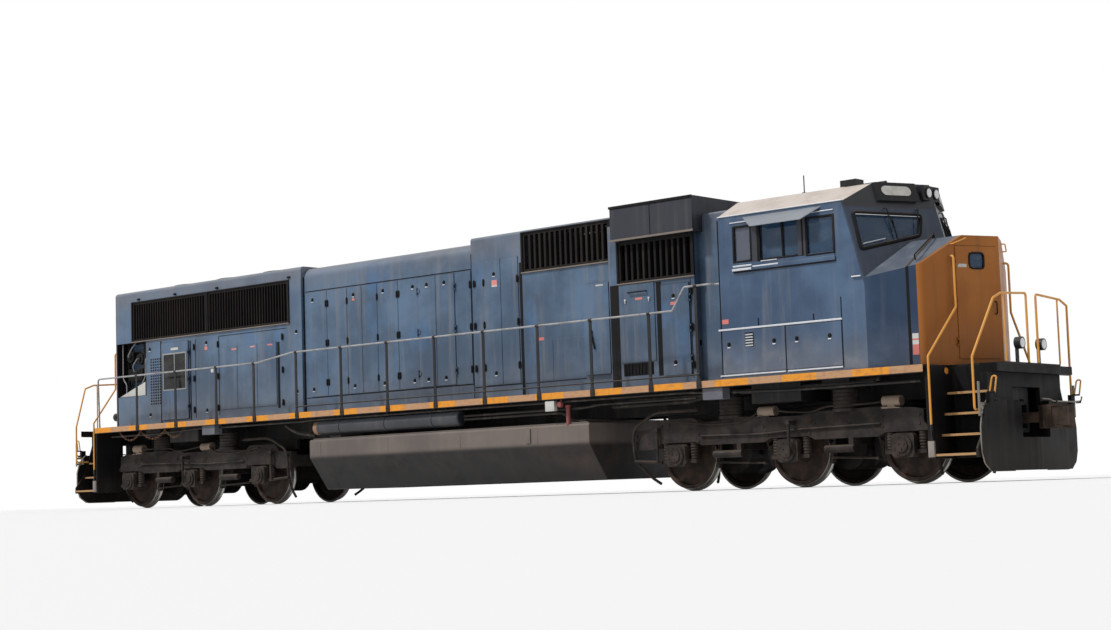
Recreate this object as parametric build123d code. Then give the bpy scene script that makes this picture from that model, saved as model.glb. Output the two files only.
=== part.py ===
from build123d import *
import os
from math import atan2, cos, degrees, radians, sin

# Six-axle diesel-electric freight locomotive.
# Frame: +X towards the cab, +Y the locomotive's left, +Z up. The origin is the middle of the
# plan, on the plane that the wheel flanges stand on. All sizes are millimetres.

# Fits: flat seats, journals and pins, and the least gap between pieces that move past each other
SEAT_GAP = 0.3
RUNNING_GAP = 0.4
MOVING_GAP = 6.0

# Running gear
TREAD_RADIUS = 533.4
FLANGE_HEIGHT = 28.0
AXLE_Z = TREAD_RADIUS + FLANGE_HEIGHT
WHEEL_BACK_TO_BACK = 1356.0
RIM_WIDTH = 140.0
AXLE_RADIUS = 98.0
JOURNAL_RADIUS = 80.0
JOURNAL_START_Y = 1020.0
JOURNAL_END_Y = 1150.0
BOGIE_CENTRE_X = 7170.0
AXLE_OFFSETS = (-2070.0, 57.0, 2070.0)

# Underframe
END_FACE_X = 10800.0
DECK_TOP = 1693.0
DECK_THICKNESS = 30.0
DECK_BOTTOM = DECK_TOP - DECK_THICKNESS
SILL_BOTTOM = 1576.0
SILL_HALF_WIDTH = 1562.0
SILL_THICKNESS = 70.0
CENTRE_SILL_BOTTOM = 1240.0
CENTRE_SILL_HALF = 520.0
CENTRE_SILL_WEB = 60.0
CENTRE_SILL_END = 9300.0
BOLSTER_BOTTOM = 1300.0
BOLSTER_LENGTH = 900.0
BOLSTER_HALF = 1330.0
PIN_RADIUS, PIN_LENGTH = 190.0, 400.0
BOWL_TOP, BOWL_THICKNESS, BOWL_HALF = 1010.0, 50.0, 330.0
STACK_OFFSET, STACK_RADIUS = 1050.0, 195.0
STACK_BOTTOM, STACK_TOP = 1150.0, 1450.0
STACK_PLATE = 45.0
STAIR_X = 9850.0
STAIR_HALF = 850.0

# Couplers
COUPLER_Z = 904.0
COUPLER_FACE_X = 11280.0
COUPLER_PIVOT_X = 10050.0
COUPLER_PIN_RADIUS = 45.0
POCKET_X = (9650.0, 10500.0)
POCKET_HALF = 300.0
POCKET_Z = (700.0, 1130.0)
POCKET_WALL = 60.0

# Fuel tank
TANK_REAR, TANK_FRONT = -3290.0, 3530.0
TANK_TOP, TANK_KNEE, TANK_BOTTOM = 1170.0, 830.0, 240.0
TANK_HALF_TOP, TANK_HALF_BOTTOM = 1440.0, 1010.0
TANK_CORNER = 45.0
SADDLE_INSET, SADDLE_LENGTH, SADDLE_HALF = 300.0, 300.0, 1200.0

# Cab and nose
CAB_REAR = 6310.0
CAB_HALF = 1500.0
CAB_WALL = 60.0
CAB_EAVE = 4200.0
CAB_ROOF = 4500.0
CAB_ROOF_HALF = 920.0
CAB_FOOT_X = 8920.0
CAB_BELT_Z = 3030.0
CAB_BROW_X = 8610.0
VEE_SLOPE = 0.45
CAB_FLOOR = 1960.0
NOSE_CORNER_X, NOSE_CORNER_Y = 9740.0, 1280.0
NOSE_RIDGE_X = 10310.0
NOSE_TOP = 3593.0
NOSE_TOP_HALF = 594.0
NOSE_BREAK_Z, NOSE_BREAK_Y = 3220.0, 1190.0
NOSE_CORNER_RADIUS = 110.0

# Hoods
HOOD_WALL = 40.0
RADIATOR_X = (-9860.0, -3960.0)
RADIATOR_HALF, RADIATOR_TOP = 990.0, 4540.0
ENGINE_X = (RADIATOR_X[1], 500.0)
ENGINE_HALF, ENGINE_TOP = 930.0, 4500.0
SILENCER_X = (ENGINE_X[1], 1700.0)
BRAKE_X = (SILENCER_X[1], 3740.0)
BRAKE_TOP = 4585.0
COOLING_X = (BRAKE_X[1], 5500.0)
COOLING_HALF, COOLING_TOP = 1050.0, 4400.0
LINK_X = (COOLING_X[1], CAB_REAR)
LINK_HALF, LINK_TOP = 900.0, 4420.0

# Doors and their hinges
DOOR_THICKNESS, DOOR_GAP = 30.0, 6.0
LEAF_PROUD = 25.0
PANEL_PROUD = 14.0
HINGE_PIN_RADIUS, HINGE_BARREL_RADIUS = 8.0, 14.0
HINGE_STAND_OFF = 22.0
HINGE_LENGTH, HINGE_LUG, HINGE_PLAY = 60.0, 30.0, 0.5
HINGE_STRAP, HINGE_STRAP_THICKNESS, HINGE_LUG_REACH = 60.0, 12.0, 34.0
HINGE_INSET = 250.0

LOW = (Align.CENTER, Align.CENTER, Align.MIN)
nodes = {}


def block(x0, x1, y0, y1, z0, z1):
    """A box between two corners."""
    centre = Pos((x0 + x1) / 2, (y0 + y1) / 2, (z0 + z1) / 2)
    return centre * Box(abs(x1 - x0), abs(y1 - y0), abs(z1 - z0))


def along_x(points, x0, x1):
    """A prism along X of an outline given as (y, z)."""
    face = make_face(Polyline(*[(x0, y, z) for y, z in points], close=True))
    return extrude(face, amount=x1 - x0, dir=(1, 0, 0))


def along_y(points, y0, y1):
    """A prism along Y of an outline given as (x, z)."""
    face = make_face(Polyline(*[(x, y0, z) for x, z in points], close=True))
    return extrude(face, amount=y1 - y0, dir=(0, 1, 0))


def along_z(points, z0, z1):
    """A prism along Z of an outline given as (x, y)."""
    face = make_face(Polyline(*[(x, y, z0) for x, y in points], close=True))
    return extrude(face, amount=z1 - z0, dir=(0, 0, 1))


def rod(start, end, radius):
    """A round bar from one point to another."""
    a, b = Vector(*start), Vector(*end)
    return Plane(origin=a, z_dir=b - a) * Cylinder(radius, (b - a).length, align=LOW)


def pipe(points, radius, bend):
    """A round bar bent along a path, with the same bend radius at each corner."""
    path = FilletPolyline(*points, radius=bend)
    return sweep(Plane(origin=path @ 0, z_dir=path % 0) * Circle(radius), path=path)


def turned_profile(points):
    """A solid of revolution about Z of an outline given as (radius, z)."""
    face = make_face(Polyline(*[(radius, 0, z) for radius, z in points], close=True))
    return revolve(face, axis=Axis.Z)


def ribbed(radius, groove, z0, z1, ribs):
    """A round stack with ribs, as of coils or rubber rings."""
    pitch = (z1 - z0) / ribs
    points = [(0, z0)]
    for index in range(ribs):
        points += [(radius - groove, z0 + index * pitch), (radius, z0 + (index + 0.3) * pitch),
                   (radius, z0 + (index + 0.7) * pitch)]
    points += [(radius - groove, z1), (0, z1)]
    return turned_profile(points)


def mirrored(solid):
    """A piece and its twin on the other side of the locomotive."""
    return [solid, mirror(solid, about=Plane.XZ)]


def turned(solid):
    """A piece moved to the other end of the locomotive."""
    return Rot(0, 0, 180) * solid


def save(name, *pieces):
    """Keep the pieces of one sub-part under its name."""
    solids = []
    for piece in pieces:
        for item in piece if isinstance(piece, list) else [piece]:
            solids.extend(item.solids())
    nodes[name] = Compound(children=solids) if len(solids) > 1 else solids[0]


# Underframe: deck plate, side sills, two deep centre sills, bolsters with their pins, seats for the
# spring stacks, jacking pads and the draft pockets
PAD_X = (-6160.0, 6120.0)
PAD_Y, PAD_BOTTOM = 1430.0, 1400.0
PAD_HALF_LENGTH, PAD_HALF_WIDTH = 190.0, 95.0
SEAT_HALF_LENGTH, SEAT_Y = 240.0, (800.0, 1300.0)


def underframe():
    end_x = END_FACE_X - DECK_THICKNESS
    deck_z = (DECK_BOTTOM, DECK_TOP)
    frame = block(-STAIR_X, STAIR_X, -SILL_HALF_WIDTH, SILL_HALF_WIDTH, *deck_z)
    frame += block(-end_x, end_x, -STAIR_HALF, STAIR_HALF, *deck_z)
    for side in (-1, 1):
        outer, inner = side * SILL_HALF_WIDTH, side * (SILL_HALF_WIDTH - SILL_THICKNESS)
        frame += block(-STAIR_X, STAIR_X, outer, inner, SILL_BOTTOM, DECK_TOP)
        web, far = side * CENTRE_SILL_HALF, side * (CENTRE_SILL_HALF - CENTRE_SILL_WEB)
        frame += block(-CENTRE_SILL_END, CENTRE_SILL_END, web, far, CENTRE_SILL_BOTTOM, DECK_TOP)
        for x in PAD_X:
            y = side * PAD_Y
            frame += block(x - PAD_HALF_LENGTH, x + PAD_HALF_LENGTH, y - PAD_HALF_WIDTH, y + PAD_HALF_WIDTH,
                           PAD_BOTTOM, DECK_TOP)
    for end in (-1, 1):
        frame += bolster(end)
        frame += draft_pocket(end)
    return frame


def bolster(end):
    x, half = end * BOGIE_CENTRE_X, BOLSTER_LENGTH / 2
    beam = block(x - half, x + half, -BOLSTER_HALF, BOLSTER_HALF, BOLSTER_BOTTOM, DECK_TOP)
    beam += Pos(x, 0, BOWL_TOP + SEAT_GAP) * Cylinder(PIN_RADIUS, PIN_LENGTH, align=LOW)
    for side in (-1, 1):
        for seat_x in (x - STACK_OFFSET, x + STACK_OFFSET):
            beam += block(seat_x - SEAT_HALF_LENGTH, seat_x + SEAT_HALF_LENGTH, side * SEAT_Y[0],
                          side * SEAT_Y[1], STACK_TOP, DECK_TOP)
    return beam


def draft_pocket(end):
    low, high = POCKET_Z
    pocket = block(end * POCKET_X[0], end * POCKET_X[1], -POCKET_HALF, POCKET_HALF, low, DECK_TOP)
    inner = POCKET_HALF - POCKET_WALL
    pocket -= block(end * (POCKET_X[0] + POCKET_WALL), end * END_FACE_X, -inner, inner,
                    low + POCKET_WALL, high - POCKET_WALL / 2)
    pin = Pos(end * COUPLER_PIVOT_X, 0, low + POCKET_WALL / 2)
    return pocket + pin * Cylinder(COUPLER_PIN_RADIUS, high - low - POCKET_WALL / 2, align=LOW)


save("underframe", underframe())


# Fuel tank: upright upper sides, sloping lower sides, rounded edges, and saddles under the sills
def fuel_tank():
    outline = [(TANK_HALF_TOP, TANK_TOP), (TANK_HALF_TOP, TANK_KNEE), (TANK_HALF_BOTTOM, TANK_BOTTOM),
               (-TANK_HALF_BOTTOM, TANK_BOTTOM), (-TANK_HALF_TOP, TANK_KNEE), (-TANK_HALF_TOP, TANK_TOP)]
    tank = along_x(outline, TANK_REAR, TANK_FRONT)
    tank = fillet(tank.edges().filter_by(Axis.X), TANK_CORNER)
    saddle_z = (TANK_TOP - TANK_CORNER, CENTRE_SILL_BOTTOM)
    rear, front = TANK_REAR + SADDLE_INSET, TANK_FRONT - SADDLE_INSET
    for x0, x1, half in ((rear, front, CENTRE_SILL_HALF), (rear, rear + SADDLE_LENGTH, SADDLE_HALF),
                         (front - SADDLE_LENGTH, front, SADDLE_HALF)):
        tank += block(x0, x1, -half, half, *saddle_z)
    return tank


save("fuel_tank", fuel_tank())

# Main air reservoirs: one long drum under each side sill, on straps
RESERVOIR_X = (-3200.0, 560.0)
RESERVOIR_Y, RESERVOIR_Z, RESERVOIR_RADIUS = 1330.0, 1385.0, 135.0
RESERVOIR_DISH = 40.0
STRAP_X = (-2500.0, -1300.0, -100.0)
STRAP_HALF, STRAP_THICKNESS = 30.0, 8.0


def air_reservoir():
    rear, front = RESERVOIR_X
    drum = rod((rear, RESERVOIR_Y, RESERVOIR_Z), (front, RESERVOIR_Y, RESERVOIR_Z), RESERVOIR_RADIUS)
    drum = fillet(drum.edges(), RESERVOIR_DISH)
    for x in STRAP_X:
        start, end = (x - STRAP_HALF, RESERVOIR_Y, RESERVOIR_Z), (x + STRAP_HALF, RESERVOIR_Y, RESERVOIR_Z)
        drum += rod(start, end, RESERVOIR_RADIUS + STRAP_THICKNESS)
        drum += block(x - STRAP_HALF, x + STRAP_HALF, RESERVOIR_Y - STRAP_HALF, RESERVOIR_Y + STRAP_HALF,
                      RESERVOIR_Z, DECK_BOTTOM)
    return drum


save("air_reservoirs", mirrored(air_reservoir()))

# Wheelset: two forged wheels pressed on one axle, with its journals
HUB_RADIUS, HUB_PROUD = 185.0, 30.0
RIM_INNER_RADIUS = 460.0


def wheelset(x):
    inner = WHEEL_BACK_TO_BACK / 2
    outer = inner + RIM_WIDTH
    flange = TREAD_RADIUS + FLANGE_HEIGHT
    section = [
        (0, AXLE_RADIUS), (inner - HUB_PROUD, AXLE_RADIUS), (inner - HUB_PROUD, HUB_RADIUS - 20),
        (inner + HUB_PROUD, HUB_RADIUS), (inner + 45, RIM_INNER_RADIUS - 5), (inner, RIM_INNER_RADIUS + 5),
        (inner, flange - 12), (inner + 12, flange), (inner + 28, flange - 6), (inner + 42, TREAD_RADIUS + 4),
        (outer - 8, TREAD_RADIUS - 4), (outer, TREAD_RADIUS - 12), (outer, RIM_INNER_RADIUS + 5),
        (outer - 55, RIM_INNER_RADIUS - 10), (outer - 65, HUB_RADIUS + 5), (outer + 20, HUB_RADIUS - 35),
        (outer + 20, AXLE_RADIUS), (JOURNAL_START_Y - 10, AXLE_RADIUS), (JOURNAL_START_Y, JOURNAL_RADIUS),
        (JOURNAL_END_Y, JOURNAL_RADIUS), (JOURNAL_END_Y, 0), (0, 0),
    ]
    face = make_face(Polyline(*[(radius, y, 0) for y, radius in section], close=True))
    half = revolve(face, axis=Axis.Y)
    return Pos(x, 0, AXLE_Z) * (half + mirror(half, about=Plane.XZ))


AXLE_X = [BOGIE_CENTRE_X + offset for offset in AXLE_OFFSETS]
WHEELSET_X = sorted(AXLE_X + [-x for x in AXLE_X], reverse=True)
for number, x in enumerate(WHEELSET_X, start=1):
    save(f"wheelset_{number}", wheelset(x))

# Bogie frame: two cast side frames joined by transoms, the centre bowl, the rubber spring stacks
# that carry the body, the brake cylinders and the upright dampers
FRAME_Y, FRAME_THICKNESS = 1035.0, 150.0
FRAME_CORNER = 25.0
ARCH_Z, WAIST_Z, TAIL_Z = 770.0, 715.0, 680.0
TRANSOM_BOTTOM = 620.0
TRANSOM_X = ((-1090.0, -860.0), (1030.0, 1110.0))
TAIL_X = (-2970.0, -2860.0)
# x, z along the top from the inner end, round the outer end and back along the bottom
FRAME_OUTLINE = (
    (-2970, 1000), (-2620, 1010), (-2500, 1150), (-1760, 1150), (-1640, 1075), (-1290, 1080), (-1170, 1120),
    (-480, 1120), (-300, 1090), (300, 1090), (480, 1130), (1600, 1150), (2250, 1110), (2400, 1080),
    (2400, 900), (2480, ARCH_Z + 30), (2440, ARCH_Z), (1740, ARCH_Z), (1620, WAIST_Z), (520, WAIST_Z),
    (400, ARCH_Z), (-290, ARCH_Z), (-410, WAIST_Z), (-1600, WAIST_Z), (-1720, ARCH_Z), (-2420, ARCH_Z),
    (-2560, TAIL_Z), (-2970, TAIL_Z),
)
# x of both ends and of the bracket of each brake cylinder that lies between the axle boxes
BRAKE_CYLINDERS = ((-1380.0, -840.0, -890.0), (690.0, 1200.0, 1150.0))
BRAKE_CYLINDER_Y, BRAKE_CYLINDER_Z, BRAKE_CYLINDER_RADIUS = 1085.0, 560.0, 58.0
# x of the middle and height of each cylinder that lies on top of the side frame
TOP_CYLINDERS = ((-370.0, 1185.0), (1850.0, 1225.0))
TOP_CYLINDER_RADIUS, TOP_CYLINDER_HALF = 80.0, 150.0
# x and y of each upright damper
DAMPERS = ((-2450.0, 1165.0), (150.0, 1262.0))
DAMPER_TOP, DAMPER_LOW = 990.0, 470.0
DAMPER_RADIUS = 26.0


def damper(x, y):
    body = rod((x, y, DAMPER_LOW), (x, y, DAMPER_TOP), DAMPER_RADIUS - 8)
    body += rod((x, y, (DAMPER_LOW + DAMPER_TOP) / 2), (x, y, DAMPER_TOP), DAMPER_RADIUS)
    body += rod((x, FRAME_Y, DAMPER_TOP), (x, y + DAMPER_RADIUS + 14, DAMPER_TOP), DAMPER_RADIUS + 12)
    return body


def frame_side():
    y0, y1 = FRAME_Y - FRAME_THICKNESS / 2, FRAME_Y + FRAME_THICKNESS / 2
    side = along_y(FRAME_OUTLINE, y0, y1)
    side = fillet(side.edges().filter_by(Axis.Y), FRAME_CORNER)
    for x in (-STACK_OFFSET, STACK_OFFSET):
        side += Pos(x, FRAME_Y, STACK_BOTTOM - STACK_PLATE) * Cylinder(STACK_RADIUS + 15, STACK_PLATE,
                                                                       align=LOW)
        side += Pos(x, FRAME_Y, 0) * ribbed(STACK_RADIUS, 14, STACK_BOTTOM, STACK_TOP - SEAT_GAP, 5)
    for x0, x1, bracket_x in BRAKE_CYLINDERS:
        side += rod((x0, BRAKE_CYLINDER_Y, BRAKE_CYLINDER_Z), (x1, BRAKE_CYLINDER_Y, BRAKE_CYLINDER_Z),
                    BRAKE_CYLINDER_RADIUS)
        side += block(bracket_x - 40, bracket_x + 40, y1 - 90, y1, BRAKE_CYLINDER_Z, WAIST_Z + 20)
    for x, z in TOP_CYLINDERS:
        side += rod((x - TOP_CYLINDER_HALF, FRAME_Y, z), (x + TOP_CYLINDER_HALF, FRAME_Y, z),
                    TOP_CYLINDER_RADIUS)
        side += block(x - 60, x + 60, FRAME_Y - 60, FRAME_Y + 60, z - TOP_CYLINDER_RADIUS - 60, z)
    for x, y in DAMPERS:
        side += damper(x, y)
    return side


def bogie_frame():
    side = frame_side()
    frame = side + mirror(side, about=Plane.XZ)
    reach = FRAME_Y - FRAME_THICKNESS / 2 + 20
    for x0, x1 in TRANSOM_X:
        frame += block(x0, x1, -reach, reach, TRANSOM_BOTTOM, BOWL_TOP - BOWL_THICKNESS / 2)
    frame += block(*TAIL_X, -reach, reach, TAIL_Z + 30, TAIL_Z + 250)
    frame += block(TRANSOM_X[0][0], TRANSOM_X[1][1], -BOWL_HALF, BOWL_HALF, BOWL_TOP - BOWL_THICKNESS,
                   BOWL_TOP)
    return frame


# Axle boxes: a rounded housing on the journal, with wings under two coil springs
BOX_HALF, BOX_INNER_Y, BOX_OUTER_Y = 190.0, 1030.0, 1185.0
BOX_CORNER = 70.0
COVER_RADIUS, CAP_RADIUS = 155.0, 95.0
WING_HALF, WING_TOP, WING_THICKNESS = 345.0, 505.0, 60.0
SPRING_OFFSET, SPRING_RADIUS = 268.0, 68.0


def axle_box(x):
    body = block(x - BOX_HALF, x + BOX_HALF, BOX_INNER_Y, BOX_OUTER_Y, AXLE_Z - BOX_HALF + 20,
                 AXLE_Z + BOX_HALF - 10)
    body = fillet(body.edges().filter_by(Axis.Y), BOX_CORNER)
    body += block(x - WING_HALF, x + WING_HALF, BOX_INNER_Y - 60, FRAME_Y + SPRING_RADIUS,
                  WING_TOP - WING_THICKNESS,
                  WING_TOP)
    for spring_x in (x - SPRING_OFFSET, x + SPRING_OFFSET):
        body += Pos(spring_x, FRAME_Y, 0) * ribbed(SPRING_RADIUS, 14, WING_TOP - 5, ARCH_Z - SEAT_GAP, 6)
    body += rod((x, BOX_OUTER_Y - 5, AXLE_Z), (x, BOX_OUTER_Y + 25, AXLE_Z), COVER_RADIUS)
    body += rod((x, BOX_OUTER_Y, AXLE_Z), (x, BOX_OUTER_Y + 45, AXLE_Z), CAP_RADIUS)
    body -= rod((x, BOX_INNER_Y - 90, AXLE_Z), (x, BOX_INNER_Y, AXLE_Z), AXLE_RADIUS + MOVING_GAP)
    return body - rod((x, BOX_INNER_Y - 10, AXLE_Z), (x, JOURNAL_END_Y + 5, AXLE_Z),
                      JOURNAL_RADIUS + RUNNING_GAP)


# Traction motors: each hangs on its axle by a suspension tube, with its nose on a transom
MOTOR_OFFSET, MOTOR_RISE, MOTOR_RADIUS, MOTOR_HALF = 590.0, 40.0, 350.0, 430.0
TUBE_RADIUS = 175.0
GEAR_CASE_Y, GEAR_RADIUS, PINION_RADIUS = (445.0, 575.0), 320.0, 200.0
NOSE_HALF_WIDTH, NOSE_HALF_HEIGHT = 150.0, 60.0


def traction_motor(x, side, nose_x):
    motor_x, motor_z = x + side * MOTOR_OFFSET, AXLE_Z + MOTOR_RISE
    motor = rod((motor_x, -MOTOR_HALF, motor_z), (motor_x, MOTOR_HALF, motor_z), MOTOR_RADIUS)
    motor += rod((x, -MOTOR_HALF, AXLE_Z), (x, MOTOR_HALF, AXLE_Z), TUBE_RADIUS)
    neck = TUBE_RADIUS - 25
    motor += block(x, motor_x, 30 - MOTOR_HALF, MOTOR_HALF - 30, AXLE_Z - neck, AXLE_Z + neck)
    y0, y1 = GEAR_CASE_Y
    case = rod((x, y0, AXLE_Z), (x, y1, AXLE_Z), GEAR_RADIUS)
    case += rod((motor_x, MOTOR_HALF - 20, motor_z), (motor_x, y1, motor_z), PINION_RADIUS)
    case += block(x, motor_x, y0, y1, AXLE_Z - PINION_RADIUS + MOTOR_RISE, AXLE_Z + PINION_RADIUS)
    motor += case
    nose = nose_x - side * SEAT_GAP
    motor += block(motor_x + side * (MOTOR_RADIUS - 60), nose, -NOSE_HALF_WIDTH, NOSE_HALF_WIDTH,
                   motor_z - NOSE_HALF_HEIGHT, motor_z + NOSE_HALF_HEIGHT)
    return motor - rod((x, -2 * MOTOR_HALF, AXLE_Z), (x, 2 * MOTOR_HALF, AXLE_Z), AXLE_RADIUS + RUNNING_GAP)


def placed(solid, end):
    spun = solid if end > 0 else turned(solid)
    return Pos(end * BOGIE_CENTRE_X, 0, 0) * spun


for label, end in (("front", 1), ("rear", -1)):
    save(f"bogie_frame_{label}", placed(bogie_frame(), end))
    boxes = [axle_box(x) for x in AXLE_OFFSETS]
    boxes += [mirror(box, about=Plane.XZ) for box in boxes]
    save(f"axle_boxes_{label}", [placed(box, end) for box in boxes])
    motors = [traction_motor(AXLE_OFFSETS[0], 1, TRANSOM_X[0][0]),
              traction_motor(AXLE_OFFSETS[1], 1, TRANSOM_X[1][0]),
              traction_motor(AXLE_OFFSETS[2], -1, TRANSOM_X[1][1])]
    save(f"traction_motors_{label}", [placed(motor, end) for motor in motors])

# Couplers: a shank pinned in the draft pocket, a cast head, and a knuckle on its own pin
HEAD_HALF_HEIGHT = 165.0
KNUCKLE_HALF_HEIGHT = 130.0
KNUCKLE_PIN = (COUPLER_FACE_X - 130.0, -165.0)
KNUCKLE_PIN_RADIUS = 22.0
KNUCKLE_HUB_RADIUS = 75.0
SHANK_HALF, EYE_RADIUS = 75.0, 110.0
# how far each corner of the head lies behind the pulling face, and its y
HEAD_OUTLINE = ((430, -85), (290, -240), (130, -250), (130, -90), (230, -60), (230, 60), (150, 110),
                (30, 150),
                (30, 240), (200, 235), (430, 110))
# the same for the knuckle's arm
KNUCKLE_OUTLINE = ((130, -238), (65, -222), (12, -150), (0, -60), (12, 20), (65, 40), (90, 0), (90, -60),
                   (130, -92))


def coupler():
    low, high = COUPLER_Z - HEAD_HALF_HEIGHT, COUPLER_Z + HEAD_HALF_HEIGHT
    head = along_z([(COUPLER_FACE_X - behind, y) for behind, y in HEAD_OUTLINE], low, high)
    pin_x, pin_y = KNUCKLE_PIN
    slot = KNUCKLE_HALF_HEIGHT + MOVING_GAP
    hollow = KNUCKLE_HUB_RADIUS + MOVING_GAP
    head += Pos(pin_x, pin_y, low) * Cylinder(hollow + MOVING_GAP, high - low, align=LOW)
    head -= Pos(pin_x, pin_y, COUPLER_Z) * Cylinder(hollow, 2 * slot)
    head -= block(pin_x - KNUCKLE_PIN_RADIUS, COUPLER_FACE_X + 1, pin_y - 120, pin_y + 120, COUPLER_Z - slot,
                  COUPLER_Z + slot)
    head += Pos(pin_x, pin_y, COUPLER_Z) * Cylinder(KNUCKLE_PIN_RADIUS, 2 * HEAD_HALF_HEIGHT + 20)
    shank = block(COUPLER_PIVOT_X, COUPLER_FACE_X - 380, -SHANK_HALF, SHANK_HALF, COUPLER_Z - SHANK_HALF,
                  COUPLER_Z + SHANK_HALF)
    eye = Pos(COUPLER_PIVOT_X, 0, COUPLER_Z) * Cylinder(EYE_RADIUS, 2 * SHANK_HALF)
    bore = Pos(COUPLER_PIVOT_X, 0, COUPLER_Z) * Cylinder(COUPLER_PIN_RADIUS + RUNNING_GAP, 4 * SHANK_HALF)
    return head + shank + eye - bore


def knuckle():
    pin_x, pin_y = KNUCKLE_PIN
    low, high = COUPLER_Z - KNUCKLE_HALF_HEIGHT, COUPLER_Z + KNUCKLE_HALF_HEIGHT
    body = along_z([(COUPLER_FACE_X - behind, y) for behind, y in KNUCKLE_OUTLINE], low, high)
    body += Pos(pin_x, pin_y, low) * Cylinder(KNUCKLE_HUB_RADIUS, high - low, align=LOW)
    return body - Pos(pin_x, pin_y, COUPLER_Z) * Cylinder(KNUCKLE_PIN_RADIUS + RUNNING_GAP,
                                                          4 * KNUCKLE_HALF_HEIGHT)


for label, end in (("front", 1), ("rear", -1)):
    save(f"coupler_{label}", coupler() if end > 0 else turned(coupler()))
    save(f"knuckle_{label}", knuckle() if end > 0 else turned(knuckle()))

# Pilots: end plate under the deck, anti-climber shelf, and a plough blade that is a shallow vee
PILOT_X, PILOT_PLATE = 10560.0, 70.0
PILOT_BOTTOM = 1050.0
PILOT_OPENING_HALF, PILOT_OPENING_Z = 420.0, (620.0, 1350.0)
SHELF_HALF_REAR, SHELF_HALF_FRONT, SHELF_BOTTOM = 1350.0, 1150.0, 1545.0
BLADE_EDGE_X, BLADE_THICKNESS = 10650.0, 30.0
# half width and height of the blade's corners, from the top to the bottom
BLADE_EDGE = ((1230.0, 1150.0), (1370.0, 1000.0), (1440.0, 780.0), (1440.0, 420.0), (1370.0, 260.0),
              (1200.0, 150.0))
BRACE_Y, BRACE_THICKNESS, BRACE_LOW = 700.0, 30.0, 300.0
PILOT_HALF = STAIR_HALF - SEAT_GAP


def pilot():
    plate = block(PILOT_X, PILOT_X + PILOT_PLATE, -PILOT_HALF, PILOT_HALF, PILOT_BOTTOM, DECK_BOTTOM)
    shelf_rear = PILOT_X + PILOT_PLATE
    shelf = along_z([(shelf_rear, -SHELF_HALF_REAR), (END_FACE_X, -SHELF_HALF_FRONT),
                     (END_FACE_X, SHELF_HALF_FRONT),
                     (shelf_rear, SHELF_HALF_REAR)], SHELF_BOTTOM, DECK_BOTTOM)
    edge_half = max(half for half, z in BLADE_EDGE)
    nose_x = END_FACE_X - 10
    vee = along_z([(BLADE_EDGE_X + BLADE_THICKNESS, edge_half), (nose_x, 60), (nose_x, -60),
                   (BLADE_EDGE_X + BLADE_THICKNESS, -edge_half), (BLADE_EDGE_X, -edge_half),
                   (nose_x - 50, 0), (BLADE_EDGE_X, edge_half)], 0, DECK_TOP)
    outline = list(BLADE_EDGE) + [(-half, z) for half, z in reversed(BLADE_EDGE)]
    blade = vee & along_x(outline, PILOT_X, END_FACE_X)
    blade += block(shelf_rear, BLADE_EDGE_X + 60, -PILOT_HALF, PILOT_HALF, PILOT_BOTTOM, BLADE_EDGE[0][1])
    body = plate + shelf + blade
    for side in (-1, 1):
        y = side * BRACE_Y
        body += block(PILOT_X - 40, BLADE_EDGE_X + 60, y - BRACE_THICKNESS, y + BRACE_THICKNESS, BRACE_LOW,
                      PILOT_BOTTOM + 100)
    return body - block(PILOT_X - 100, END_FACE_X + 100, -PILOT_OPENING_HALF, PILOT_OPENING_HALF,
                        *PILOT_OPENING_Z)


save("pilots", pilot(), turned(pilot()))

# Steps: a wall towards the bogie, an inner plate, a stringer and four treads that widen downwards
STEP_HALF = CAB_HALF + 10.0
STEP_WALL_X = (STAIR_X, STAIR_X + 100.0)
STRINGER_X = (10600.0, PILOT_X + PILOT_PLATE - SEAT_GAP)
STEP_BOTTOM = 350.0
STEP_PLATE = 30.0
TREAD_DEPTH, TREAD_THICKNESS = 260.0, 30.0
# height of each tread and the y of its outer edge
TREADS = ((410.0, 1510.0), (690.0, 1290.0), (990.0, 1180.0), (1290.0, 1080.0))


def steps():
    inner = STAIR_HALF
    stair = block(*STEP_WALL_X, inner, STEP_HALF, STEP_BOTTOM, DECK_BOTTOM)
    stair += block(STEP_WALL_X[0], STRINGER_X[1], inner, inner + STEP_PLATE, STEP_BOTTOM, DECK_BOTTOM)
    slope = [(inner, STEP_BOTTOM), (TREADS[0][1], STEP_BOTTOM), (TREADS[0][1], TREADS[0][0] + 60)]
    slope += [(outer, level + 60) for level, outer in TREADS[1:]]
    slope += [(TREADS[-1][1], DECK_BOTTOM), (inner, DECK_BOTTOM)]
    stair += along_x(slope, *STRINGER_X)
    for level, outer in TREADS:
        low = level - TREAD_THICKNESS
        back = max(outer - TREAD_DEPTH, inner)
        stair += block(STEP_WALL_X[1], STRINGER_X[0], back, outer, low, level)
        stair += block(STEP_WALL_X[1], STRINGER_X[0], inner, back + 5, low, low + 8)
    return stair


save("steps", mirrored(steps()), [turned(item) for item in mirrored(steps())])


# Hoods: folded plate housings on the deck, open below
def hood(x_range, half, top, shoulder):
    x0, x1 = x_range
    outer = block(x0, x1, -half, half, DECK_TOP, top)
    outer = fillet(outer.edges().filter_by(Axis.X).group_by(Axis.Z)[-1], shoulder)
    wall = HOOD_WALL
    inner = block(x0 + wall, x1 - wall, wall - half, half - wall, DECK_TOP - 10, top - wall)
    inner = fillet(inner.edges().filter_by(Axis.X).group_by(Axis.Z)[-1], max(shoulder - wall, 5))
    return outer - inner


def window_cuts(x0, x1, z0, z1, half, depth=HOOD_WALL + 60):
    """A cut through each side wall."""
    return [block(x0, x1, side * (half - depth), side * (half + depth), z0, z1) for side in (-1, 1)]


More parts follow.
